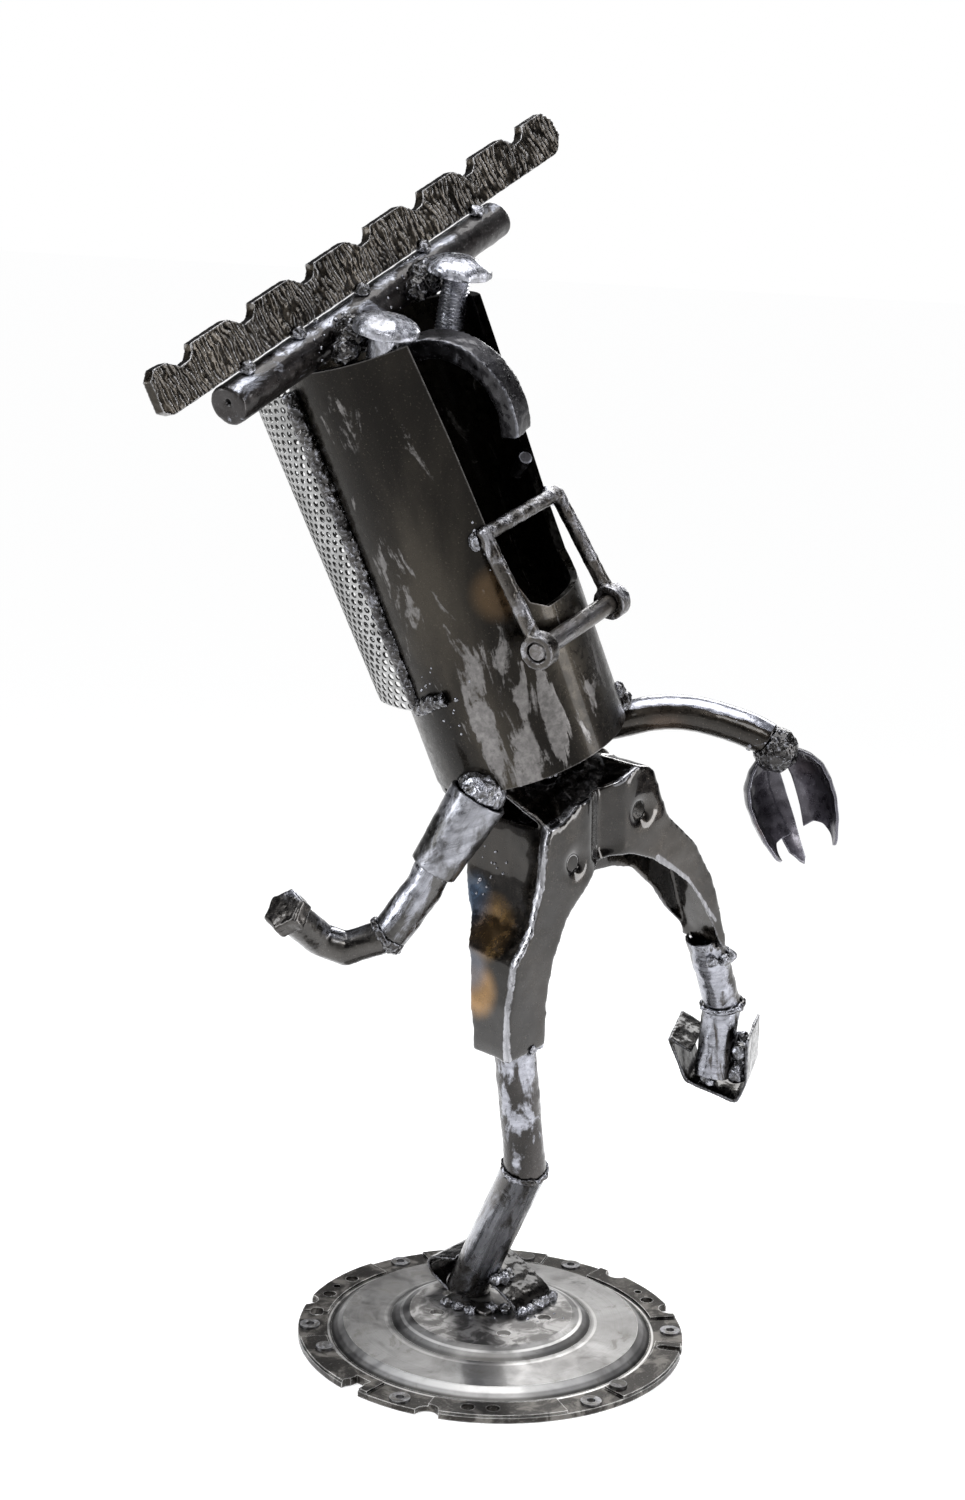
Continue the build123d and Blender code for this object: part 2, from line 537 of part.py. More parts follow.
with BuildPart() as shoe_strap:
    with BuildSketch(Plane(origin=sh(4.0, -7.6, 0), x_dir=shoe_x, z_dir=Vector(0, 0, 1))) as _st:
        Rectangle(34.0, 11.0, align=(Align.MIN, Align.CENTER))
    extrude(amount=2.6)
    add(_shin_full, mode=Mode.SUBTRACT)
    add(shoe_right.part, mode=Mode.SUBTRACT)

_fw = [ball(sh(53.5, 3.0, 2.0), 4.0), ball(sh(54.5, 10.0, 1.6), 3.8), ball(sh(54.5, 18.0, 1.8), 4.0), ball(sh(54.3, 26.0, 1.6), 3.8), ball(sh(53.5, 34.0, 2.0), 4.0),
       ball(sh(43.0, 0.5, 1.0), 4.2), ball(sh(35.5, -3.5, 1.4), 4.4), ball(sh(28.0, -14.5, 1.0), 4.0), ball(sh(18.0, -14.8, 1.0), 3.8), ball(sh(9.0, -14.0, 1.0), 3.6),
       ball(sh(4.5, 24.2, 0.9), 3.6), ball(sh(4.5, 31.4, 0.9), 3.6)]
with BuildPart() as foot_weld_right:
    for t_ in _fw:
        add(t_)
    for o_ in (shoe_right, shoe_strap, base_disc):
        add(o_.part, mode=Mode.SUBTRACT)
    add(_shin_env, mode=Mode.SUBTRACT)
    add(_floor, mode=Mode.SUBTRACT)

_iw = [ball(sh(33.2, 2.5, 18.0), 4.2), ball(sh(34.6, 8.0, 17.2), 4.4), ball(sh(34.2, 14.5, 17.6), 4.2)]
_a3 = rod(ANKLE - shin_d * 12.0, KNEE, PIPE_R)
with BuildPart() as instep_weld_right:
    for t_ in _iw:
        add(t_)
    add(_a3, mode=Mode.SUBTRACT)
    add(shoe_right.part, mode=Mode.SUBTRACT)

# ---------------------------------------------------------------- raised leg
R_HIP = Vector(117.52, -77.82, 231.99)
R_KNEE = Vector(136.9, -81.7, 191.0)
R_ANK = Vector(133.6, -79.4, 150.0)
rd1 = (R_KNEE - R_HIP).normalized()
rd2 = (R_ANK - R_KNEE).normalized()
rmid = (rd1 + rd2).normalized()
_rk = Plane(origin=R_KNEE, z_dir=rmid)
_rk_a = _rk * Box(90, 90, 90, align=(Align.CENTER, Align.CENTER, Align.MIN))
_rk_b = _rk * Box(90, 90, 90, align=(Align.CENTER, Align.CENTER, Align.MAX))
_a4 = tube(R_HIP - rd1 * 10.0, R_KNEE + rd1 * 20.0, RAISED_R, 2.3)
with BuildPart() as thigh_left:
    add(_a4)
    add(_rk_a, mode=Mode.SUBTRACT)
    add(pelvis_fork.part, mode=Mode.SUBTRACT)
_a5 = tube(R_KNEE - rd2 * 20.0, R_ANK + rd2 * 6.0, RAISED_R, 2.3)
with BuildPart() as shin_left:
    add(_a5)
    add(_rk_b, mode=Mode.SUBTRACT)
_a6 = _rk * Torus(RAISED_R + 0.2, 2.2)
_a7 = rod(R_KNEE - rmid * 9, R_KNEE + rmid * 9, RAISED_R - 1.2)
with BuildPart() as knee_weld_left:
    add(_a6)
    add(thigh_left.part, mode=Mode.SUBTRACT)
    add(shin_left.part, mode=Mode.SUBTRACT)
    add(_a7, mode=Mode.SUBTRACT)
_hl = [ball(R_HIP + rd1 * 6.0 + HIP_N * 12.0, 4.2), ball(R_HIP + rd1 * 7.0 + HIP_N * 9.5 + HIP_L * 8.0, 4.2), ball(R_HIP + rd1 * 4.0 + HIP_N * 9.5 - HIP_L * 8.0, 4.2),
       ball(R_HIP + rd1 * 9.0 + HIP_L * 12.0, 3.8)]
_a8 = rod(R_HIP - rd1 * 12.0, R_KNEE, RAISED_R)
with BuildPart() as hip_weld_left:
    for t_ in _hl:
        add(t_)
    add(_a8, mode=Mode.SUBTRACT)
    add(pelvis_fork.part, mode=Mode.SUBTRACT)

# raised shoe: same kind of bent strip, hanging from the pipe end
RS_O = Vector(121.75, -83.08, 158.01)
RS_X = Vector(0.2341, -0.9722, 0.0)
RS_W = Vector(0.9561, 0.2302, 0.1815)
rs_pl = Plane(origin=RS_O, x_dir=RS_X, z_dir=RS_W * -1)
if rs_pl.y_dir.Z < 0:
    rs_pl = Plane(origin=RS_O, x_dir=RS_X, z_dir=RS_W)
rs_sign = 1.0 if rs_pl.z_dir.dot(RS_W) > 0 else -1.0
rs_line = [(-12.0, 4.4), (-27.0, 12.8), (-28.4, 10.8), (-18.6, -15.0), (-16.5, -18.0), (-9.5, -21.0), (13.0, -28.4), (16.8, -28.0), (19.6, -23.0),
           (22.9, -13.5), (23.4, 17.0)]
_a9 = rod(R_KNEE, R_ANK + rd2 * 6.0, RAISED_R + 0.2)
with BuildPart() as shoe_left:
    with BuildSketch(rs_pl) as _rs:
        with BuildLine() as _rsl:
            Polyline(*strip(rs_line[::-1], SHOE_T), close=True)
        make_face()
    extrude(amount=rs_sign * SHOE_W)
    add(_a9, mode=Mode.SUBTRACT)


def rs(x, l, z):
    return RS_O + RS_X * x + RS_W * l + RS_X.cross(RS_W) * z * (1 if RS_X.cross(RS_W).Z > 0 else -1)


_fl = [ball(rs(14.0, 11.0, -12.0), 7.5), ball(rs(12.0, 22.0, -14.0), 7.0), ball(rs(-3.0, 7.0, -17.5), 5.0), ball(rs(16.0, 12.0, 2.0), 6.0), ball(rs(15.0, 22.0, 6.0), 5.0)]
_a10 = rod(R_KNEE, R_ANK + rd2 * 6.0, RAISED_R)
with BuildPart() as foot_weld_left:
    for t_ in _fl:
        add(t_)
    add(_a10, mode=Mode.SUBTRACT)
    add(shoe_left.part, mode=Mode.SUBTRACT)

# ---------------------------------------------------------------- right arm (swung back)
A0 = Vector(-69.4, -16.6, 351.0)
A1 = Vector(-79.8, 3.3, 311.4)
A2 = Vector(-81.4, 8.0, 300.4)
A3 = Vector(-91.4, 24.0, 272.3)
A4 = Vector(-103.2, 45.0, 263.2)
A5 = Vector(-110.2, 57.8, 268.1)
A6 = Vector(-131.6, 62.5, 285.5)
sd = (A1 - A0).normalized()
_sleeve_l = (A1 - A0).length + 4.0
_sleeve_axis = Plane(origin=A0 - sd * 4.0, z_dir=sd)
_sleeve = _sleeve_axis * Cone(SLEEVE_TOP_R, SLEEVE_R, _sleeve_l, align=(Align.CENTER, Align.CENTER, Align.MIN))
_sleeve_bore = _sleeve_axis * Cone(SLEEVE_TOP_R - 2.6, SLEEVE_R - 2.6, _sleeve_l, align=(Align.CENTER, Align.CENTER, Align.MIN))
_sleeve_env = _sleeve_axis * Cone(SLEEVE_TOP_R, SLEEVE_R, _sleeve_l, align=(Align.CENTER, Align.CENTER, Align.MIN))
with BuildPart() as arm_sleeve_right:
    add(_sleeve)
    add(_sleeve_bore, mode=Mode.SUBTRACT)
    add(head_tube.part, mode=Mode.SUBTRACT)
    add(pelvis_fork.part, mode=Mode.SUBTRACT)
_r0 = A1 - sd * 16.0
_rodj = [rod(_r0, A1 + sd * 3.0, ARM_ROD_R), rod(A1 + sd * 1.0, A2, ARM_ROD_R), ball(A2, ARM_ROD_R), rod(A2, A3, ARM_ROD_R)]
with BuildPart() as upper_arm_right:
    for t_ in _rodj:
        add(t_)
    add(arm_sleeve_right.part, mode=Mode.SUBTRACT)
fd = (A4 - A3).normalized()
_fore = [rod(A3 + fd * 1.0, A4, FOREARM_R), ball(A4, FOREARM_R), rod(A4, A5, FOREARM_R), ball(A5, FOREARM_R), rod(A5, A6, FOREARM_R)]
with BuildPart() as forearm_right:
    for t_ in _fore:
        add(t_)
    add(upper_arm_right.part, mode=Mode.SUBTRACT)
ud = (A3 - A2).normalized()
_a11 = Plane(origin=A3 + fd * 2.0, z_dir=(fd + ud).normalized()) * Torus(ARM_ROD_R - 1.2, 2.5)
_a12 = ball(A3, ARM_ROD_R - 0.2)
with BuildPart() as elbow_weld_right:
    add(_a11)
    add(_a12)
    for o_ in (upper_arm_right, forearm_right):
        add(o_.part, mode=Mode.SUBTRACT)
hd = (A6 - A5).normalized()
with BuildPart() as fist_bolt_right:
    with BuildSketch(Plane(origin=A6, z_dir=hd)) as _fb:
        RegularPolygon(13.8, 6)
    extrude(amount=10.5)
    chamfer(fist_bolt_right.faces().sort_by(Axis(origin=A6, direction=hd))[-1].edges(), length=1.8)

# neck: a flat welded across the bottom of the head tube, on the pelvis shelf
with BuildPart() as neck_plate:
    with BuildSketch(Plane(origin=hp(0, 0, -6.0), x_dir=HEAD_F, z_dir=HEAD_A)) as _np:
        Circle(HEAD_R - 0.8)
        with Locations((-26.0, 22.0)):
            Rectangle(36.0, 130.0, mode=Mode.INTERSECT)
    extrude(amount=6.0)
    add(pelvis_fork.part, mode=Mode.SUBTRACT)
_sw = [ball(A0 - sd * 5.5, 14.2), ball(hp(-10.0, -53.6, -4.4), 6.3)]
with BuildPart() as shoulder_weld_right:
    for t_ in _sw:
        add(t_)
    add(_sleeve_env, mode=Mode.SUBTRACT)
    for o_ in (head_tube, pelvis_fork, arm_sleeve_right, neck_plate):
        add(o_.part, mode=Mode.SUBTRACT)

_nw = [ball(pp(30.0, 154.5, -30.0), 8.5), ball(pp(46.0, 155.0, -30.0), 9.0), ball(pp(62.0, 156.0, -30.0), 10.5), ball(pp(78.0, 157.0, -30.0), 12.0), ball(pp(94.0, 158.0, -30.0), 13.0),
       rod(pp(62.0, 150.0, -22.0), pp(62.0, 168.0, -22.0), 9.0), rod(pp(86.0, 150.0, -22.0), pp(86.0, 172.0, -22.0), 8.0)]
_plate_top = Plane(origin=hp(0, 0, -6.0), x_dir=HEAD_F, z_dir=HEAD_A) * Box(300, 300, 80, align=(Align.CENTER, Align.CENTER, Align.MIN))
with BuildPart() as neck_weld:
    for t_ in _nw:
        add(t_)
    add(_plate_top, mode=Mode.SUBTRACT)
    for o_ in (pelvis_fork, shoulder_weld_right):
        add(o_.part, mode=Mode.SUBTRACT)

# ---------------------------------------------------------------- left arm (swung forward)
L_PTS = [(37.5, -36.0, 380.0), (42.0, -51.1, 384.4), (48.6, -67.1, 389.3), (53.7, -84.5, 391.0), (58.6, -101.6, 389.0), (63.9, -118.9, 384.3), (68.4, -132.4, 378.4)]
with BuildPart() as arm_left:
    with BuildLine() as _al:
        Spline(*L_PTS)
    with BuildSketch(Plane(origin=_al.line @ 0, z_dir=_al.line % 0)) as _as:
        Circle(ARM_BAR_R)
    sweep()
    add(head_tube.part, mode=Mode.SUBTRACT)
    add(neck_weld.part, mode=Mode.SUBTRACT)
_lw = [ball(hp(42.0, 43.0, 2.0), 6.0), ball(hp(33.0, 50.0, 1.0), 6.0), ball(hp(46.0, 34.0, 12.0), 5.0)]
with BuildPart() as shoulder_weld_left:
    for t_ in _lw:
        add(t_)
    for o_ in (head_tube, arm_left, pelvis_fork):
        add(o_.part, mode=Mode.SUBTRACT)

# hand: flared end of a pipe split into three curved fingers
HAND_D = (Vector(80.0, -151.0, 305.0) - Vector(66.0, -131.0, 372.0)).normalized()
HAND_O = Vector(69.8, -135.2, 375.6) + HAND_D * 3.0
hand_prof = [(9.5, 0.0), (13.5, 2.3), (19.5, 7.4), (24.7, 15.8), (26.9, 26.0), (26.6, 37.2), (24.2, 50.2), (20.4, 61.4), (17.6, 67.0)]
hand_in = [(16.0, 67.5), (18.8, 61.7), (22.5, 49.9), (24.8, 37.0), (25.1, 26.2), (23.0, 16.5), (18.2, 8.7), (12.6, 3.9), (8.8, 1.7)]


def finger_plane(a0):
    x0 = Vector(0, 0, 1).cross(HAND_D).normalized()
    y0 = HAND_D.cross(x0)
    xd = x0 * cos(radians(a0)) + y0 * sin(radians(a0))
    return Plane(origin=HAND_O, x_dir=xd, z_dir=xd.cross(HAND_D))


# the third finger is narrower, sits outside the other two and reaches further down
back_prof = [(r_ + 2.3, h_) for r_, h_ in hand_prof] + [(11.5, 76.5)]
back_in = [(10.1, 77.0)] + [(r_ + 2.3, h_) for r_, h_ in hand_in]
fingers = {}
for nm_, a_, sw_, prof_ in (("hand_finger_outer", 256.0, 96.0, hand_prof + hand_in), ("hand_finger_inner", 10.0, 96.0, hand_prof + hand_in),
                            ("hand_finger_back", 334.0, 30.0, back_prof + back_in)):
    with BuildPart() as _fg:
        with BuildSketch(finger_plane(a_)) as _fs:
            with BuildLine() as _fsl:
                Polyline(*prof_, close=True)
            make_face()
        revolve(axis=Axis(origin=HAND_O, direction=HAND_D), revolution_arc=sw_)
        if fingers:
            add(fingers["hand_finger_outer"].part, mode=Mode.SUBTRACT)
    fingers[nm_] = _fg
_a15 = ball(HAND_O - HAND_D * 0.5, 13.2)
with BuildPart() as wrist_weld:
    add(_a15)
    add(arm_left.part, mode=Mode.SUBTRACT)
    for o_ in fingers.values():
        add(o_.part, mode=Mode.SUBTRACT)

# ---------------------------------------------------------------- export
save(base_disc, "base_disc")
save(rim_tubular_rivets, "rim_tubular_rivets")
save(rim_solid_rivets, "rim_solid_rivets")
save(head_tube, "head_tube")
save(hair_sheet, "hair_sheet")
save(hair_weld_right, "hair_weld_right")
save(hair_weld_left, "hair_weld_left")
save(hair_weld_chin, "hair_weld_chin")
save(brow_bar, "brow_bar")
save(crest_plate, "crest_plate")
save(crest_tacks, "crest_tacks")
save(eye_bolt_right, "eye_bolt_right")
save(eye_bolt_left, "eye_bolt_left")
save(eye_weld_right, "eye_weld_right")
save(eye_weld_left, "eye_weld_left")
save(nose_hook, "nose_hook")
save(inner_stub, "inner_stub")
save(mouth_shackle, "mouth_shackle")
save(mouth_pin, "mouth_pin")
save(shackle_weld_right, "shackle_weld_right")
save(shackle_weld_left, "shackle_weld_left")
save(pelvis_fork, "pelvis_fork")
save(neck_plate, "neck_plate")
save(neck_weld, "neck_weld")
save(shin_right, "shin_right")
save(thigh_right, "thigh_right")
save(knee_weld_right, "knee_weld_right")
save(hip_weld_right, "hip_weld_right")
save(shoe_right, "shoe_right")
save(shoe_strap, "shoe_strap")
save(foot_weld_right, "foot_weld_right")
save(instep_weld_right, "instep_weld_right")
save(thigh_left, "thigh_left")
save(shin_left, "shin_left")
save(knee_weld_left, "knee_weld_left")
save(hip_weld_left, "hip_weld_left")
save(shoe_left, "shoe_left")
save(foot_weld_left, "foot_weld_left")
save(arm_sleeve_right, "arm_sleeve_right")
save(upper_arm_right, "upper_arm_right")
save(forearm_right, "forearm_right")
save(elbow_weld_right, "elbow_weld_right")
save(fist_bolt_right, "fist_bolt_right")
save(shoulder_weld_right, "shoulder_weld_right")
save(arm_left, "arm_left")
save(shoulder_weld_left, "shoulder_weld_left")
save(wrist_weld, "wrist_weld")
for nm_, fg_ in fingers.items():
    save(fg_, nm_)
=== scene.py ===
import math
import random

import bmesh
import bpy
import numpy as np
from mathutils import Matrix, Vector


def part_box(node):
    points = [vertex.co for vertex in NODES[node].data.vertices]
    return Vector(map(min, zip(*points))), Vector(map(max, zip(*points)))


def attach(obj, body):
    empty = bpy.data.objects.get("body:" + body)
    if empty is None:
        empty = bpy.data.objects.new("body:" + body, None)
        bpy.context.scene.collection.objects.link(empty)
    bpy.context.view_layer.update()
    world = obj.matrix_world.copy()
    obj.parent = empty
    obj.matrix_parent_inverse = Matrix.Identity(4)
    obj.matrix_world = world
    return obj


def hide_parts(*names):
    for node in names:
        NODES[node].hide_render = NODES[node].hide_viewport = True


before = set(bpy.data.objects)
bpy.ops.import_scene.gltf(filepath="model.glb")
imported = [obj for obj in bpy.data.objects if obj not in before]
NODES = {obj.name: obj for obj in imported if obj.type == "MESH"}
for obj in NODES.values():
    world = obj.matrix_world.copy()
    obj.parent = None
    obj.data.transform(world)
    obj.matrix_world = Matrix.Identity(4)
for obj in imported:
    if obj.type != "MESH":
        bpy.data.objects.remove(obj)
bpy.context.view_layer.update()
SCN = bpy.context.scene
RNG = random.Random(11)

# ------------------------------------------------------------------ frames shared with the CAD (metres)
HEAD_O = np.array([-0.0141, -0.01994, 0.3749])
HEAD_F = np.array([-0.01863, -0.97248, 0.23224])
HEAD_A = np.array([-0.31493, 0.22617, 0.92177])
HEAD_F = HEAD_F / np.linalg.norm(HEAD_F)
HEAD_A = HEAD_A / np.linalg.norm(HEAD_A)
HEAD_L = np.cross(HEAD_A, HEAD_F)
HIP_O = np.array([-0.03945, -0.0319, 0.19664])
HIP_L = np.array([0.93544, -0.28599, 0.20774])
HIP_N = np.array([-0.28343, -0.95804, -0.04267])
HIP_L = HIP_L / np.linalg.norm(HIP_L)
HIP_N = HIP_N / np.linalg.norm(HIP_N)
HIP_U = np.cross(HIP_N, HIP_L)


def hp(x, y, z):
    return HEAD_O + (HEAD_F * x + HEAD_L * y + HEAD_A * z) / 1000.0


def pp(s, u, n):
    return HIP_O + (HIP_L * s + HIP_U * u + HIP_N * n) / 1000.0


# ------------------------------------------------------------------ noise
_r = np.random.RandomState(7)
PERM = np.concatenate([_r.permutation(256)] * 2)
GRAD = _r.normal(size=(256, 3))
GRAD /= np.linalg.norm(GRAD, axis=1)[:, None]


def perlin(P):
    Pi = np.floor(P).astype(int)
    Pf = P - Pi
    u = Pf * Pf * Pf * (Pf * (Pf * 6 - 15) + 10)
    out = np.zeros(len(P))
    for dx in (0, 1):
        for dy in (0, 1):
            for dz in (0, 1):
                i = PERM[(PERM[(PERM[(Pi[:, 0] + dx) & 255] + Pi[:, 1] + dy) & 255] + Pi[:, 2] + dz) & 255]
                d = Pf - np.array([dx, dy, dz])
                w = (u[:, 0] if dx else 1 - u[:, 0]) * (u[:, 1] if dy else 1 - u[:, 1]) * (u[:, 2] if dz else 1 - u[:, 2])
                out += w * (GRAD[i] * d).sum(1)
    return out * 1.5


def fbm(P, size, octaves=4, gain=0.5, seed=0.0):
    out = np.zeros(len(P))
    a, f = 1.0, 1.0 / size
    for k in range(octaves):
        out += a * perlin(P * f + seed + 17.3 * k)
        a *= gain
        f *= 2.03
    return out


# ------------------------------------------------------------------ mesh helpers
def new_object(name, me):
    ob = bpy.data.objects.new(name, me)
    SCN.collection.objects.link(ob)
    return ob


def smooth_by_angle(me, deg=40.0):
    me.polygons.foreach_set("use_smooth", [True] * len(me.polygons))
    me.set_sharp_from_angle(angle=math.radians(deg))


def evaluated(ob):
    bpy.context.view_layer.update()
    dg = bpy.context.evaluated_depsgraph_get()
    me = bpy.data.meshes.new_from_object(ob.evaluated_get(dg), preserve_all_data_layers=False, depsgraph=dg)
    return me


def copies(nodes, name, grow=0.0):
    bm = bmesh.new()
    for n in nodes:
        src = NODES[n]
        me = src.data.copy()
        me.transform(src.matrix_world)
        bm.from_mesh(me)
        bpy.data.meshes.remove(me)
    bmesh.ops.remove_doubles(bm, verts=bm.verts, dist=2e-6)
    me = bpy.data.meshes.new(name)
    bm.to_mesh(me)
    bm.free()
    me.materials.clear()
    if "custom_normal" in me.attributes:
        me.attributes.remove(me.attributes["custom_normal"])
    return me


def remeshed(nodes, name, voxel, smooth=2, factor=0.5):
    """The CAD pieces as an even quad skin that can be worn, rounded and rippled."""
    me = copies(nodes, name)
    ob = new_object(name, me)
    m = ob.modifiers.new("r", "REMESH")
    m.mode = "VOXEL"
    m.voxel_size = voxel
    m.adaptivity = 0.0
    if smooth:
        s = ob.modifiers.new("s", "SMOOTH")
        s.iterations = smooth
        s.factor = factor
    out = evaluated(ob)
    ob.modifiers.clear()
    old = ob.data
    ob.data = out
    bpy.data.meshes.remove(old)
    out.name = name
    out.polygons.foreach_set("use_smooth", [True] * len(out.polygons))
    return ob


def coords(me):
    a = np.empty(len(me.vertices) * 3)
    me.vertices.foreach_get("co", a)
    return a.reshape(-1, 3)


def normals(me):
    a = np.empty(len(me.vertices) * 3)
    me.vertices.foreach_get("normal", a)
    return a.reshape(-1, 3)


def set_coords(me, P):
    me.vertices.foreach_set("co", P.reshape(-1))
    me.update()


def displace(ob, fn):
    me = ob.data
    P, N = coords(me), normals(me)
    d = fn(P, N)
    if d.ndim == 1:
        d = N * d[:, None]
    set_coords(me, P + d)


def clamp_to(ob, nodes, margin=0.0):
    """Keeps a piece inside the box of the CAD pieces that it stands for."""
    lo = np.min([np.array(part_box(n)[0]) for n in nodes], axis=0) - margin
    hi = np.max([np.array(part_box(n)[1]) for n in nodes], axis=0) + margin
    me = ob.data
    set_coords(me, np.clip(coords(me), lo, hi))


def finish_piece(ob, mat, nodes, body="figure", clamp=True, margin=0.0006):
    ob.data.materials.clear()
    ob.data.materials.append(mat)
    if nodes:
        if clamp:
            clamp_to(ob, nodes, margin)
        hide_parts(*nodes)
    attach(ob, body)


def dress(node, mat):
    o = NODES[node]
    o.data.materials.clear()
    o.data.materials.append(mat)


# ------------------------------------------------------------------ materials
class Mat:
    def __init__(self, name):
        self.mat = bpy.data.materials.new(name)
        self.mat.use_nodes = True
        t = self.mat.node_tree
        self.n, self.l = t.nodes, t.links
        self.n.clear()
        self.out = self.n.new("ShaderNodeOutputMaterial")
        self.b = self.n.new("ShaderNodeBsdfPrincipled")
        self.l.new(self.b.outputs[0], self.out.inputs[0])
        self.tc = self.n.new("ShaderNodeTexCoord")

    def put(self, sock, v):
        if isinstance(v, bpy.types.NodeSocket):
            self.l.new(v, sock)
        elif isinstance(v, (tuple, list)) and len(v) == 3 and sock.type == "RGBA":
            sock.default_value = (*v, 1.0)
        else:
            sock.default_value = v

    def math(self, op, a, b=None, c=None, clamp=False):
        m = self.n.new("ShaderNodeMath")
        m.operation = op
        m.use_clamp = clamp
        self.put(m.inputs[0], a)
        if b is not None:
            self.put(m.inputs[1], b)
        if c is not None:
            self.put(m.inputs[2], c)
        return m.outputs[0]

    def vmath(self, op, a, b=None):
        m = self.n.new("ShaderNodeVectorMath")
        m.operation = op
        self.put(m.inputs[0], a)
        if b is not None:
            self.put(m.inputs[1], b)
        return m.outputs["Value"] if op in ("DOT_PRODUCT", "LENGTH", "DISTANCE") else m.outputs[0]

    def rng(self, v, lo, hi, a=0.0, b=1.0, smooth=True):
        m = self.n.new("ShaderNodeMapRange")
        m.interpolation_type = "SMOOTHSTEP" if smooth else "LINEAR"
        m.clamp = True
        self.put(m.inputs["Value"], v)
        m.inputs["From Min"].default_value = lo
        m.inputs["From Max"].default_value = hi
        m.inputs["To Min"].default_value = a
        m.inputs["To Max"].default_value = b
        return m.outputs["Result"]

    def mix(self, f, a, b, kind="MIX"):
        m = self.n.new("ShaderNodeMix")
        m.data_type = "RGBA"
        m.blend_type = kind
        self.put(m.inputs[0], f)
        self.put(m.inputs[6], a)
        self.put(m.inputs[7], b)
        return m.outputs[2]

    def mixf(self, f, a, b):
        m = self.n.new("ShaderNodeMix")
        m.data_type = "FLOAT"
        self.put(m.inputs[0], f)
        self.put(m.inputs[2], a)
        self.put(m.inputs[3], b)
        return m.outputs[0]

    def noise(self, vec, scale, detail=4.0, rough=0.55, distortion=0.0):
        m = self.n.new("ShaderNodeTexNoise")
        self.put(m.inputs["Vector"], vec)
        m.inputs["Scale"].default_value = scale
        m.inputs["Detail"].default_value = detail
        m.inputs["Roughness"].default_value = rough
        m.inputs["Distortion"].default_value = distortion
        return m.outputs[0]

    def aligned(self, axis, squash=0.25, offset=(0, 0, 0)):
        """Object coordinates turned so that axis is +Z, then squashed along it: streaks run along the piece."""
        q = Vector(axis).normalized().rotation_difference(Vector((0, 0, 1)))
        m = self.n.new("ShaderNodeMapping")
        self.l.new(self.tc.outputs["Object"], m.inputs["Vector"])
        m.inputs["Rotation"].default_value = q.to_euler()
        s = self.n.new("ShaderNodeMapping")
        self.l.new(m.outputs[0], s.inputs["Vector"])
        s.inputs["Scale"].default_value = (1.0, 1.0, squash)
        s.inputs["Location"].default_value = offset
        return s.outputs[0]


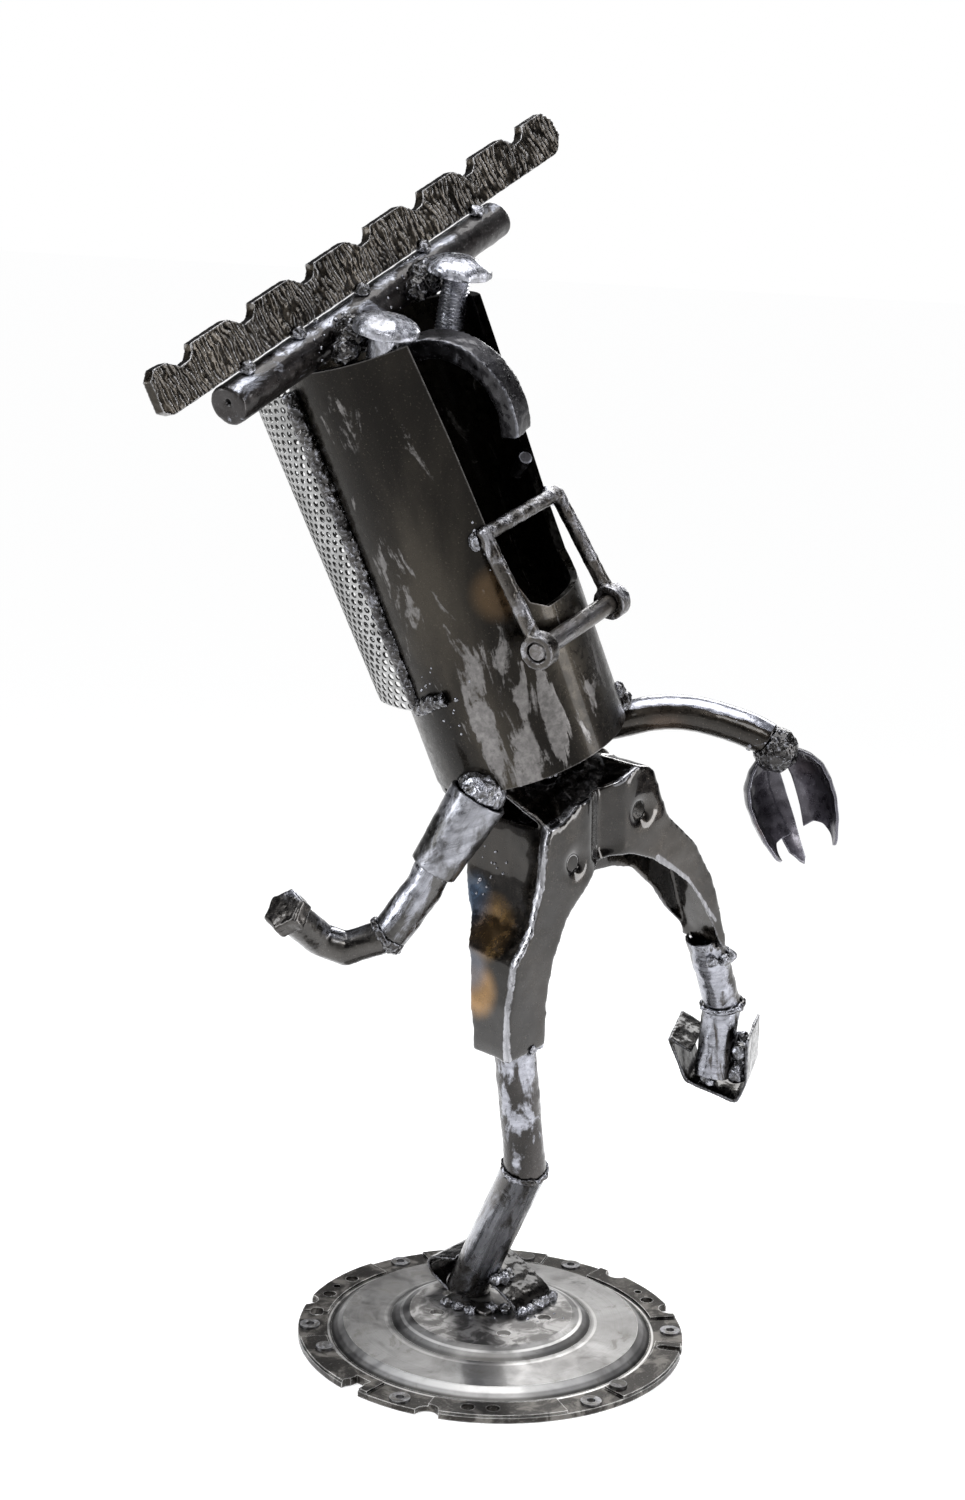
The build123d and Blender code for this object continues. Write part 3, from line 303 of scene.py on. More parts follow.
def steel(name, dark=(0.030, 0.025, 0.020), mid=(0.085, 0.073, 0.060), bright=(0.60, 0.60, 0.62), axis=(0, 0, 1), squash=0.35,
          patch=42.0, thr=0.58, width=0.035, painted_light_dirs=(), edge=0.6, edge_mode="bevel", coat=0.35, rough=(0.34, 0.24), bump=0.5,
          dist=0.0004, grind=0.5, grind_axis=None, grind_scale=420.0, pit=0.35, tints=(), offset=(0, 0, 0), boost=0.30, speck=900.0, metallic=1.0,
          spots=(), painted_highlight_lines=()):
    M = Mat(name)
    dark = tuple(c * 0.62 for c in dark)
    mid = tuple(c * 0.66 for c in mid)
    bright = (bright[0] * 0.66, bright[1] * 0.67, bright[2] * 0.72)
    P = M.tc.outputs["Object"]
    V = M.aligned(axis, squash, offset)
    G = M.aligned(grind_axis or axis, 0.045, offset)
    big = M.noise(V, patch, 9.0, 0.62, 0.9)
    low = M.noise(V, patch * 0.36, 5.0, 0.55, 0.4)
    fine = M.noise(P, speck, 3.0, 0.6)
    mid_n = M.noise(P, 190.0, 5.0, 0.65, 0.3)
    scr = M.noise(G, grind_scale, 3.0, 0.65, 0.15)
    f = M.math("MULTIPLY_ADD", low, 0.25, M.math("MULTIPLY", big, 0.75))
    f = M.math("MULTIPLY_ADD", mid_n, 0.12, M.math("SUBTRACT", f, 0.06))
    # painted light: faces turned toward each given direction (the camera, the key light, or up) get more of the bright
    # colour, a painted highlight on the lit side
    for d, lo, hi, amt in painted_light_dirs:
        lit_facing = M.vmath("DOT_PRODUCT", M.tc.outputs["Normal"], tuple(Vector(d).normalized()))
        f = M.math("MULTIPLY_ADD", M.rng(lit_facing, lo, hi), amt, f)
    for c, r, amt in spots:
        dd = M.vmath("DISTANCE", P, tuple(c))
        f = M.math("MULTIPLY_ADD", M.rng(dd, r * 0.4, r, 1.0, 0.0), amt, f)
    m = M.rng(f, thr - width, thr + width)
    # painted highlight: bright bands along the given paths, the highlights on the bent edges of the pressed fork
    for a, b, r, amt in painted_highlight_lines:
        a, b = Vector(a), Vector(b)
        d = (b - a).normalized()
        rel = M.vmath("SUBTRACT", P, tuple(a))
        t = M.math("MINIMUM", M.math("MAXIMUM", M.vmath("DOT_PRODUCT", rel, tuple(d)), 0.0), (b - a).length)
        cmb = M.n.new("ShaderNodeVectorMath")
        cmb.operation = "SCALE"
        cmb.inputs[0].default_value = tuple(d)
        M.l.new(t, cmb.inputs["Scale"])
        dist_l = M.vmath("DISTANCE", rel, cmb.outputs[0])
        dist_l = M.math("MULTIPLY_ADD", mid_n, r * 1.1, M.math("SUBTRACT", dist_l, r * 0.55))
        m = M.math("MAXIMUM", m, M.rng(dist_l, r * 0.75, r, amt, 0.0))
    if edge > 0:
        if edge_mode == "bevel":
            bv = M.n.new("ShaderNodeBevel")
            bv.samples = 4
            bv.inputs["Radius"].default_value = 0.0011
            geo = M.n.new("ShaderNodeNewGeometry")
            dt = M.vmath("DOT_PRODUCT", bv.outputs[0], geo.outputs["Normal"])
            e = M.rng(dt, 0.90, 0.998, 1.0, 0.0)
        else:
            geo = M.n.new("ShaderNodeNewGeometry")
            e = M.rng(geo.outputs["Pointiness"], 0.515, 0.56)
        e = M.math("MULTIPLY", e, M.rng(mid_n, 0.30, 0.55, 0.25, 1.0))
        m = M.math("MAXIMUM", m, M.math("MULTIPLY", e, edge))
    dcol = M.mix(M.rng(low, 0.35, 0.65), dark, mid)
    dcol = M.mix(M.rng(fine, 0.62, 0.72, 0.0, 0.5), dcol, tuple(min(1.0, c * 2.4) for c in mid))
    bcol = M.mix(M.rng(scr, 0.3, 0.7), tuple(c * 0.55 for c in bright), bright)
    bcol = M.mix(M.rng(mid_n, 0.40, 0.62, 0.0, 0.45), bcol, tuple(c * 0.45 for c in bright))
    col = M.mix(m, dcol, bcol)
    for c, r, tcol, s in tints:
        dd = M.vmath("DISTANCE", P, tuple(c))
        dd = M.math("MULTIPLY_ADD", low, r * 0.8, M.math("SUBTRACT", dd, r * 0.4))
        col = M.mix(M.rng(dd, r * 0.35, r, s, 0.0), col, tcol)
    M.l.new(col, M.b.inputs["Base Color"])
    rg = M.mixf(m, M.rng(mid_n, 0.3, 0.7, rough[0] - 0.10, rough[0] + 0.14), M.rng(scr, 0.3, 0.7, rough[1] - 0.05, rough[1] + 0.14))
    M.l.new(rg, M.b.inputs["Roughness"])
    h = M.math("MULTIPLY", m, 0.35)
    h = M.math("MULTIPLY_ADD", mid_n, 0.75, h)
    h = M.math("MULTIPLY_ADD", scr, M.math("MULTIPLY", M.math("MULTIPLY_ADD", m, 0.7, 0.3), grind), h)
    h = M.math("MULTIPLY_ADD", M.rng(fine, 0.60, 0.72), -pit * 0.5, h)
    bp = M.n.new("ShaderNodeBump")
    bp.inputs["Strength"].default_value = bump
    bp.inputs["Distance"].default_value = dist
    M.l.new(h, bp.inputs["Height"])
    M.l.new(bp.outputs[0], M.b.inputs["Normal"])
    M.b.inputs["Metallic"].default_value = metallic
    M.b.inputs["Coat Weight"].default_value = coat
    M.b.inputs["Coat Roughness"].default_value = 0.07
    M.b.inputs["Coat IOR"].default_value = 1.5
    return M.mat


def axis_of(a, b):
    return tuple((Vector(b) - Vector(a)).normalized())


CAM_POS = Vector((-1.2843, -0.7119, 0.69035))
CAM_F = Vector((0.84851, 0.48314, -0.2159))
CAM_R = Vector((0.50089, -0.86487, 0.03317))
CAM_U = Vector((0.1707, 0.13628, 0.97585))
LEFT = -CAM_R
TO_CAM = -CAM_F
UP = Vector((0, 0, 1))

# painted light in the materials below: the facing directions paint a highlight on the side turned to the camera, the
# key light or up, and the fork's line list paints highlights along its bend edges
mat_tube = steel("head_pipe_steel", dark=(0.014, 0.012, 0.010), mid=(0.060, 0.052, 0.041), bright=(0.34, 0.32, 0.29), axis=tuple(HEAD_A), squash=0.30,
                 patch=52.0, thr=0.585, width=0.022, edge=0.85, coat=0.18, rough=(0.30, 0.34), bump=0.35, grind=0.9, grind_axis=(0.9, 0.3, 0.1), grind_scale=330.0,
                 spots=[(tuple(hp(20, -52, 40)), 0.055, 0.045), (tuple(hp(46, -30, 22)), 0.05, 0.055), (tuple(hp(-5, -57, 228)), 0.035, 0.05), (tuple(hp(54, 10, 60)), 0.03, 0.03)],
                 tints=[(tuple(hp(40, -40, 110)), 0.018, (0.16, 0.10, 0.05), 0.4)])
mat_bar = steel("brow_bar_steel", dark=(0.035, 0.030, 0.028), mid=(0.09, 0.085, 0.085), bright=(0.56, 0.57, 0.60), axis=axis_of((-0.2, 0.02, 0.6), (0.05, 0.0, 0.68)), squash=0.5, patch=60.0,
                thr=0.60, painted_light_dirs=[((0.0, 0.2, 1.0), 0.1, 0.95, 0.12)], edge=0.7, coat=0.4, rough=(0.36, 0.28), bump=0.8, dist=0.0006, grind=0.3, pit=0.9)
mat_crest = steel("flame_cut_steel", dark=(0.028, 0.023, 0.017), mid=(0.075, 0.064, 0.050), bright=(0.62, 0.60, 0.56), axis=(0, 0, 1), squash=0.5, patch=70.0, thr=0.74,
                  edge=1.0, edge_mode="point", coat=0.35, rough=(0.30, 0.24), bump=0.5, grind=0.25)
mat_bolt = steel("bolt_head_steel", dark=(0.16, 0.16, 0.165), mid=(0.34, 0.34, 0.35), bright=(0.80, 0.80, 0.82), squash=0.9, patch=70.0, thr=0.44, width=0.10, edge=0.8,
                 edge_mode="point", coat=0.35, rough=(0.36, 0.22), bump=0.8, dist=0.0007, grind=0.3, pit=0.8)
mat_weld = steel("weld_bead_steel", dark=(0.045, 0.042, 0.040), mid=(0.17, 0.165, 0.16), bright=(0.72, 0.72, 0.74), squash=1.0, patch=150.0, thr=0.50, width=0.08, edge=0.9,
                 edge_mode="point", coat=0.5, rough=(0.30, 0.18), bump=0.8, dist=0.0006, grind=0.1, pit=0.9)
mat_weld_dark = steel("dark_weld_steel", dark=(0.020, 0.018, 0.018), mid=(0.07, 0.065, 0.062), bright=(0.66, 0.66, 0.68), squash=1.0, patch=190.0, thr=0.60, width=0.06, edge=0.8,
                      edge_mode="point", coat=0.6, rough=(0.24, 0.18), bump=0.9, dist=0.0007, grind=0.1, pit=0.9)
mat_pelvis = steel("pressed_fork_steel", dark=(0.022, 0.019, 0.016), mid=(0.070, 0.060, 0.050), bright=(0.66, 0.65, 0.64), axis=tuple(HIP_U), squash=0.35, patch=40.0, thr=0.655,
                   width=0.03, edge=0.95, edge_mode="point", coat=0.9, rough=(0.20, 0.20), bump=0.30, grind=0.3,
                   painted_highlight_lines=[(pp(-19, 10, 14), pp(-17, 40, 14), 0.0026, 0.95), (pp(-17, 40, 14), pp(-8, 67, 14), 0.0032, 1.0), (pp(-8, 67, 14), pp(6, 81, 14), 0.0036, 1.0),
                          (pp(6, 81, 14), pp(18, 106, 14), 0.0030, 1.0), (pp(18, 106, 14), pp(28, 134, 12), 0.0030, 0.9), (pp(28, 135, 12), pp(52, 143, 12), 0.0034, 0.9),
                          (pp(80, 143, 14), pp(104, 149, 13), 0.0022, 0.8), (pp(112, 88, 16), pp(136, 64, 15), 0.0022, 0.7), (pp(136, 64, 15), pp(158, 28, 14), 0.0020, 0.7)],
                   tints=[(tuple(pp(2, 78, -16)), 0.022, (0.40, 0.24, 0.09), 0.8), (tuple(pp(-9, 44, -12)), 0.018, (0.36, 0.20, 0.07), 0.75),
                          (tuple(pp(8, 84, -38)), 0.022, (0.07, 0.12, 0.20), 0.75), (tuple(pp(-6, 55, -22)), 0.018, (0.07, 0.12, 0.19), 0.6)])
mat_leg = steel("leg_pipe_steel", dark=(0.040, 0.036, 0.033), mid=(0.12, 0.11, 0.105), bright=(0.66, 0.66, 0.68), axis=axis_of((-0.023, -0.032, 0.122), (-0.039, -0.032, 0.197)), squash=0.4,
                patch=52.0, thr=0.56, width=0.03, painted_light_dirs=[(tuple(TO_CAM + LEFT * 0.3), 0.2, 0.9, 0.10)], edge=0.8, coat=0.4, rough=(0.30, 0.22), bump=0.6, grind=0.8, grind_axis=(0.3, -0.9, 0.1), grind_scale=300.0)
mat_shin = steel("shin_pipe_steel", dark=(0.045, 0.042, 0.038), mid=(0.13, 0.12, 0.115), bright=(0.60, 0.60, 0.61), axis=axis_of((0.0184, 0.027, 0.0175), (-0.023, -0.032, 0.1226)), squash=0.25,
                 patch=46.0, thr=0.545, width=0.04, painted_light_dirs=[(tuple(TO_CAM + UP * 0.4), 0.2, 0.95, 0.09)], edge=0.8, coat=0.4, rough=(0.30, 0.24), bump=0.4, grind=0.7)
mat_arm = steel("arm_bar_steel", dark=(0.045, 0.042, 0.040), mid=(0.14, 0.135, 0.13), bright=(0.66, 0.66, 0.68), axis=axis_of((-0.0685, -0.017, 0.3535), (-0.09, 0.022, 0.274)), squash=0.5,
                patch=64.0, thr=0.545, width=0.05, painted_light_dirs=[(tuple(TO_CAM + UP * 0.8), 0.2, 0.95, 0.10)], edge=0.8, coat=0.4, rough=(0.30, 0.22), bump=0.7, grind=0.6, pit=0.6)
mat_sleeve = steel("arm_sleeve_steel", dark=(0.06, 0.058, 0.055), mid=(0.19, 0.185, 0.18), bright=(0.62, 0.62, 0.63), axis=axis_of((-0.0685, -0.017, 0.3535), (-0.0796, 0.0034, 0.3125)), squash=0.6,
                   patch=48.0, thr=0.52, width=0.08, painted_light_dirs=[(tuple(TO_CAM + UP * 0.5), 0.1, 0.9, 0.08)], edge=0.9, coat=0.35, rough=(0.34, 0.28), bump=0.6, grind=1.0,
                   grind_axis=tuple(CAM_R + CAM_U * 0.3), grind_scale=260.0)
mat_fore = steel("forearm_steel", dark=(0.05, 0.046, 0.042), mid=(0.15, 0.14, 0.13), bright=(0.62, 0.62, 0.64), axis=axis_of((-0.0903, 0.0227, 0.2737), (-0.1095, 0.0574, 0.2694)), squash=0.2,
                 patch=40.0, thr=0.58, width=0.06, painted_light_dirs=[((0, 0, 1), 0.2, 0.95, 0.07)], edge=0.8, coat=0.5, rough=(0.26, 0.2), bump=0.4, grind=0.5)
mat_arm_left = steel("left_arm_steel", dark=(0.040, 0.034, 0.028), mid=(0.11, 0.095, 0.08), bright=(0.70, 0.70, 0.73), axis=axis_of((0.0375, -0.036, 0.379), (0.0578, -0.1, 0.387)), squash=0.3,
                     patch=60.0, thr=0.60, width=0.018, painted_light_dirs=[((-0.35, -0.1, 1.0), 0.72, 0.90, 0.26)], edge=0.8, coat=0.5, rough=(0.32, 0.2), bump=0.5, grind=0.5,
                     tints=[((0.052, -0.075, 0.382), 0.02, (0.10, 0.055, 0.03), 0.35)])
mat_blue = steel("blued_steel", dark=(0.095, 0.090, 0.105), mid=(0.24, 0.225, 0.26), bright=(0.60, 0.60, 0.64), squash=0.6, patch=40.0, thr=0.68, width=0.05, edge=1.0, coat=0.4,
                 rough=(0.34, 0.24), bump=0.35, grind=0.4, tints=[((0.062, -0.14, 0.33), 0.012, (0.16, 0.10, 0.07), 0.45), ((0.088, -0.145, 0.355), 0.014, (0.13, 0.09, 0.08), 0.4)])
mat_nose = steel("nose_bar_steel", dark=(0.030, 0.028, 0.030), mid=(0.085, 0.083, 0.09), bright=(0.56, 0.57, 0.60), axis=tuple(HEAD_A), squash=0.7, patch=70.0, thr=0.68, width=0.05, edge=0.8,
                 edge_mode="point", coat=0.4, rough=(0.34, 0.26), bump=0.7, dist=0.0006, pit=0.9)
mat_forged = steel("forged_shackle_steel", dark=(0.055, 0.048, 0.042), mid=(0.15, 0.135, 0.12), bright=(0.66, 0.65, 0.65), axis=tuple(HEAD_A), squash=0.8, patch=75.0, thr=0.56, width=0.07, edge=0.8,
                   edge_mode="point", coat=0.45, rough=(0.30, 0.22), bump=0.8, dist=0.0006, grind=0.3, pit=0.8, painted_light_dirs=[(tuple(HEAD_A + HEAD_F * 0.6), 0.3, 0.95, 0.07)])
mat_pin = steel("shackle_pin_steel", dark=(0.055, 0.048, 0.042), mid=(0.14, 0.125, 0.11), bright=(0.52, 0.50, 0.48), axis=(0.977, -0.02, 0.21), squash=0.3, patch=60.0, thr=0.58, width=0.08, edge=0.9,
                coat=0.4, rough=(0.32, 0.24), bump=0.6, grind=0.4, pit=0.6)
mat_shoe = steel("shoe_strip_steel", dark=(0.020, 0.018, 0.016), mid=(0.06, 0.055, 0.05), bright=(0.60, 0.60, 0.61), squash=0.6, patch=48.0, thr=0.66, width=0.04, edge=0.8,
                 edge_mode="point", coat=0.5, rough=(0.26, 0.26), bump=0.4)
mat_strap = steel("foot_strap_steel", dark=(0.12, 0.11, 0.10), mid=(0.26, 0.25, 0.23), bright=(0.62, 0.61, 0.59), squash=0.6, patch=80.0, thr=0.56, width=0.08, edge=1.0, coat=0.3, rough=(0.34, 0.28), bump=0.4)
mat_plate = steel("neck_plate_steel", dark=(0.020, 0.018, 0.016), mid=(0.055, 0.048, 0.042), bright=(0.45, 0.44, 0.42), squash=0.7, patch=60.0, thr=0.70, edge=0.7, coat=0.4, rough=(0.34, 0.28), bump=0.5)
mat_rivet = steel("rivet_steel", dark=(0.12, 0.115, 0.105), mid=(0.24, 0.23, 0.215), bright=(0.60, 0.59, 0.57), squash=1.0, patch=120.0, thr=0.52, width=0.08, edge=0.9, coat=0.25, rough=(0.40, 0.30), bump=0.4)


def disc_material():
    """Pressed disc: satin dome with ring marks, painted highlights on the groove edges, painted shade in the grooves
    and dark mottled rim pads.
    """
    M = Mat("pressed_disc_steel")
    P = M.tc.outputs["Object"]
    sep = M.n.new("ShaderNodeSeparateXYZ")
    M.l.new(P, sep.inputs[0])
    r = M.math("SQRT", M.math("ADD", M.math("MULTIPLY", sep.outputs[0], sep.outputs[0]), M.math("MULTIPLY", sep.outputs[1], sep.outputs[1])))
    cloud = M.noise(P, 26.0, 7.0, 0.6, 0.7)
    fine = M.noise(P, 600.0, 4.0, 0.6)
    patchy = M.noise(P, 70.0, 8.0, 0.62, 0.8)
    rings = M.n.new("ShaderNodeTexNoise")
    rings.noise_dimensions = "1D"
    M.l.new(M.math("MULTIPLY", r, 1.0), rings.inputs["W"])
    rings.inputs["Scale"].default_value = 900.0
    rings.inputs["Detail"].default_value = 3.0
    ring = rings.outputs[0]
    rr = M.math("MULTIPLY_ADD", cloud, 0.006, M.math("SUBTRACT", r, 0.003))
    dome = M.mix(M.rng(cloud, 0.35, 0.65), (0.21, 0.205, 0.20), (0.34, 0.335, 0.33))
    dome = M.mix(M.rng(patchy, 0.56, 0.66, 0.0, 0.55), dome, (0.16, 0.15, 0.135))
    dome = M.mix(M.rng(ring, 0.3, 0.7, 0.0, 0.18), dome, (0.20, 0.19, 0.17))
    hubc = M.mix(M.rng(patchy, 0.42, 0.60), (0.13, 0.125, 0.12), (0.42, 0.41, 0.40))
    col = M.mix(M.rng(rr, 0.0485, 0.0530, 1.0, 0.0), dome, hubc)
    pad = M.mix(M.rng(patchy, 0.46, 0.62), (0.030, 0.027, 0.024), (0.16, 0.15, 0.137))
    pad = M.mix(M.rng(fine, 0.58, 0.70, 0.0, 0.5), pad, (0.24, 0.235, 0.22))
    col = M.mix(M.rng(rr, 0.0950, 0.0985), col, pad)
    # painted highlights: bright rings on the hub edge, the dome shoulder and the groove, where the bends catch the
    # light
    for rc, w, s in ((0.0548, 0.0013, 0.85), (0.0640, 0.0012, 0.35), (0.0918, 0.0022, 0.55), (0.0990, 0.0009, 0.7)):
        d = M.math("ABSOLUTE", M.math("SUBTRACT", r, rc))
        col = M.mix(M.math("MULTIPLY", M.rng(d, w * 0.4, w, s, 0.0), M.rng(cloud, 0.3, 0.55, 0.35, 1.0)), col, (0.74, 0.73, 0.71))
    # painted shade: dark rings in the grooves between the bends
    for rc, w, s in ((0.0600, 0.0028, 0.6), (0.0968, 0.0016, 0.75)):
        d = M.math("ABSOLUTE", M.math("SUBTRACT", r, rc))
        col = M.mix(M.rng(d, w * 0.3, w, s, 0.0), col, (0.05, 0.047, 0.043))
    bv = M.n.new("ShaderNodeBevel")
    bv.samples = 4
    bv.inputs["Radius"].default_value = 0.0009
    geo = M.n.new("ShaderNodeNewGeometry")
    e = M.rng(M.vmath("DOT_PRODUCT", bv.outputs[0], geo.outputs["Normal"]), 0.90, 0.998, 0.9, 0.0)
    e = M.math("MULTIPLY", e, M.rng(patchy, 0.35, 0.55, 0.3, 1.0))
    col = M.mix(e, col, (0.74, 0.73, 0.71))
    M.l.new(col, M.b.inputs["Base Color"])
    M.l.new(M.rng(patchy, 0.3, 0.7, 0.30, 0.50), M.b.inputs["Roughness"])
    M.b.inputs["Metallic"].default_value = 1.0
    M.b.inputs["Coat Weight"].default_value = 0.25
    M.b.inputs["Coat Roughness"].default_value = 0.1
    h = M.math("MULTIPLY_ADD", ring, 0.25, M.math("MULTIPLY", patchy, 0.5))
    h = M.math("MULTIPLY_ADD", fine, 0.3, h)
    bp = M.n.new("ShaderNodeBump")
    bp.inputs["Strength"].default_value = 0.35
    bp.inputs["Distance"].default_value = 0.0004
    M.l.new(h, bp.inputs["Height"])
    M.l.new(bp.outputs[0], M.b.inputs["Normal"])
    return M.mat


mat_disc = disc_material()


def sheet_material():
    M = Mat("perforated_sheet_steel")
    P = M.tc.outputs["Object"]
    cloud = M.noise(P, 40.0, 6.0, 0.6, 0.5)
    fine = M.noise(P, 900.0, 3.0, 0.6)
    c = M.mix(M.rng(cloud, 0.38, 0.62), (0.27, 0.27, 0.265), (0.42, 0.42, 0.415))
    c = M.mix(M.rng(M.noise(P, 95.0, 6.0, 0.65, 0.6), 0.58, 0.68, 0.0, 0.6), c, (0.12, 0.115, 0.11))
    M.l.new(c, M.b.inputs["Base Color"])
    M.l.new(M.rng(fine, 0.3, 0.7, 0.34, 0.5), M.b.inputs["Roughness"])
    M.b.inputs["Metallic"].default_value = 1.0
    M.b.inputs["Coat Weight"].default_value = 0.2
    bp = M.n.new("ShaderNodeBump")
    bp.inputs["Strength"].default_value = 0.2
    bp.inputs["Distance"].default_value = 0.0002
    M.l.new(fine, bp.inputs["Height"])
    M.l.new(bp.outputs[0], M.b.inputs["Normal"])
    return M.mat


mat_sheet = sheet_material()

# ------------------------------------------------------------------ hair: perforated sheet
HAIR_LEAN = 0.042


def hair_x(h):
    return -34.6 - (h - 150.0) * HAIR_LEAN


hair_o = hp(hair_x(44.5), 0, 44.5)
hair_d = hp(hair_x(245.0), 0, 245.0) - hair_o
hair_d = hair_d / np.linalg.norm(hair_d)
hair_f = np.cross(HEAD_L, hair_d)


def hair_sheet():
    R, L = 46.2, 196.6
    arc = math.pi * R
    nx, nz = 27, 42
    p, h = arc / nx, L / nz
    cut_x = [-60.0, -48.0, -40.0, -26.0, -10.0, 2.0]
    cut_z = [40.0, 22.0, 12.0, 5.0, 1.5, 0.0]
    verts, index, faces = [], {}, []

    def vert(u, v):
        key = (round(u * 500), round(v * 500))
        if key not in index:
            th = math.pi / 2 + (u / arc) * math.pi
            x, y = R * math.cos(th), R * math.sin(th)
            zb = float(np.interp(x, cut_x, cut_z)) + 0.6
            z = zb + (L - zb) * (v / L)
            w = hair_o + (hair_f * x + HEAD_L * y + hair_d * z) / 1000.0
            index[key] = len(verts)
            verts.append(tuple(w))
        return index[key]

    rad = 1.92
    for j in range(nz):
        v0, v1 = j * h, (j + 1) * h
        off = p / 2 if j % 2 else 0.0
        cells = [(off + i * p, off + (i + 1) * p, True) for i in range(nx if not j % 2 else nx - 1)]
        if j % 2:
            cells = [(0.0, p / 2, False)] + cells + [(arc - p / 2, arc, False)]
        for u0, u1, hole in cells:
            w = u1 - u0
            if hole:
                ring = [(u0, v0), (u0 + w / 4, v0), (u0 + w / 2, v0), (u0 + 3 * w / 4, v0), (u1, v0), (u1, (v0 + v1) / 2), (u1, v1), (u0 + 3 * w / 4, v1),
                        (u0 + w / 2, v1), (u0 + w / 4, v1), (u0, v1), (u0, (v0 + v1) / 2)]
                cu, cv = (u0 + u1) / 2, (v0 + v1) / 2
                outer = [vert(a, b) for a, b in ring]
                inner = []
                for a, b in ring:
                    t = math.atan2(b - cv, a - cu)
                    inner.append(vert(cu + rad * math.cos(t), cv + rad * math.sin(t)))
                for k in range(12):
                    m = (k + 1) % 12
                    faces.append((outer[k], outer[m], inner[m], inner[k]))
            else:
                if u0 == 0.0:
                    loop = [(u0, v0), (u0 + w / 2, v0), (u1, v0), (u1, (v0 + v1) / 2), (u1, v1), (u0 + w / 2, v1), (u0, v1)]
                else:
                    loop = [(u0, v0), (u0 + w / 2, v0), (u1, v0), (u1, v1), (u0 + w / 2, v1), (u0, v1), (u0, (v0 + v1) / 2)]
                faces.append(tuple(vert(a, b) for a, b in loop))
    me = bpy.data.meshes.new("hair_perforated")
    me.from_pydata(verts, [], faces)
    me.update()
    ob = new_object("hair_perforated", me)
    P = coords(me)
    N = P - (hair_o + np.outer((P - hair_o) @ hair_d, hair_d))
    N /= np.linalg.norm(N, axis=1)[:, None]
    set_coords(me, P + N * (fbm(P, 0.05, 2) * 0.0003)[:, None])
    s = ob.modifiers.new("s", "SOLIDIFY")
    s.thickness = 0.0011
    s.offset = 0.0
    out = evaluated(ob)
    ob.modifiers.clear()
    ob.data = out
    smooth_by_angle(out, 35)
    return ob


ob = hair_sheet()
finish_piece(ob, mat_sheet, ["hair_sheet"])

# ------------------------------------------------------------------ crest with flame-cut drag lines
BROW = np.array([0.109, 0.9937, 0.0248])


def bp(s, dz=0.0):
    return hp(-7.0 + BROW[0] * s, BROW[1] * s, 253.0 + 11.0 + 1.6 + BROW[2] * s + dz)


crest_x = bp(1) - bp(0)
crest_x /= np.linalg.norm(crest_x)
crest_up = HEAD_A - crest_x * (HEAD_A @ crest_x)
crest_up /= np.linalg.norm(crest_up)
crest_n = np.cross(crest_x, crest_up)
crest_o = bp(0)


def crest_fn(P, N):
    s = (P - crest_o) @ crest_x * 1000
    v = (P - crest_o) @ crest_up * 1000
    side = np.abs(N @ crest_n)
    flat = np.clip((side - 0.55) / 0.35, 0, 1)
    warp = 2.6 * fbm(np.stack([s / 16, v / 30, s * 0 + 3.1], 1), 1.0, 2) + 1.1 * np.sin(v / 7.0 + s / 9.0) + v * 0.16
    cell = fbm(np.stack([s / 5.5, v / 13.0, s * 0 + 9.0], 1), 1.0, 3)
    ph = (s + warp * 1.2 + cell * 2.0) / 4.1
    ridge = 1.0 - np.abs((ph % 1.0) * 2 - 1)
    ridge = np.clip(ridge * 1.6 - 0.3, 0, 1) ** 2.2
    brk = np.clip(0.75 + 1.2 * fbm(np.stack([s / 8, v / 7, s * 0], 1), 1.0, 2), 0, 1)
    d = -0.00095 * flat * (1.0 - ridge * brk) + flat * 0.00018 * fbm(P, 0.0025, 2)
    d += (1 - flat) * (fbm(P, 0.006, 3) * 0.00022 - 0.00012)
    return d


ob = remeshed(["crest_plate"], "crest_cut", 0.00075, smooth=2)
displace(ob, crest_fn)
finish_piece(ob, mat_crest, ["crest_plate"])

# ------------------------------------------------------------------ worn bars, hooks and pipes


def worn(node, name, voxel, amp, size, mat, smooth=3, extra=None, body="figure"):
    o = remeshed([node], name, voxel, smooth)
    displace(o, lambda P, N: fbm(P, size, 4) * amp - amp * 0.6)
    if extra:
        displace(o, extra)
    finish_piece(o, mat, [node], body=body)
    return o


worn("brow_bar", "brow_bar_worn", 0.0011, 0.00035, 0.010, mat_bar, smooth=4)
worn("nose_hook", "nose_hook_worn", 0.0011, 0.00040, 0.008, mat_nose, smooth=8)
worn("mouth_shackle", "mouth_shackle_forged", 0.0008, 0.00030, 0.006, mat_forged, smooth=8)
worn("inner_stub", "inner_stub_worn", 0.0008, 0.00030, 0.006, mat_nose, smooth=3)
worn("fist_bolt_right", "fist_bolt_worn", 0.0007, 0.00070, 0.010, mat_fore, smooth=8)
worn("upper_arm_right", "upper_arm_worn", 0.0009, 0.00060, 0.014, mat_arm, smooth=4)
worn("forearm_right", "forearm_worn", 0.0009, 0.00040, 0.016, mat_fore, smooth=8)
worn("arm_sleeve_right", "arm_sleeve_worn", 0.0008, 0.00045, 0.014, mat_sleeve, smooth=3)
worn("arm_left", "left_arm_bent", 0.0010, 0.00030, 0.018, mat_arm_left, smooth=6)
worn("thigh_left", "left_thigh_worn", 0.0009, 0.00070, 0.014, mat_leg, smooth=3)
worn("shin_left", "left_shin_worn", 0.0009, 0.00070, 0.014, mat_leg, smooth=3)


def gouged(P, N):
    """Long shallow grinding flats on the front of the standing thigh."""
    d = np.array(TO_CAM + LEFT * 0.25)
    d /= np.linalg.norm(d)
    face = np.clip((N @ d - 0.35) / 0.5, 0, 1)
    ax = np.array([-0.21, 0.02, 0.977])
    t = P @ ax
    side = P @ np.cross(ax, d)
    q = np.stack([side / 0.007, t / 0.022, side * 0], 1)
    g = perlin(q + 3.3)
    return -face * 0.0010 * np.clip(g + 0.25, 0, 1)


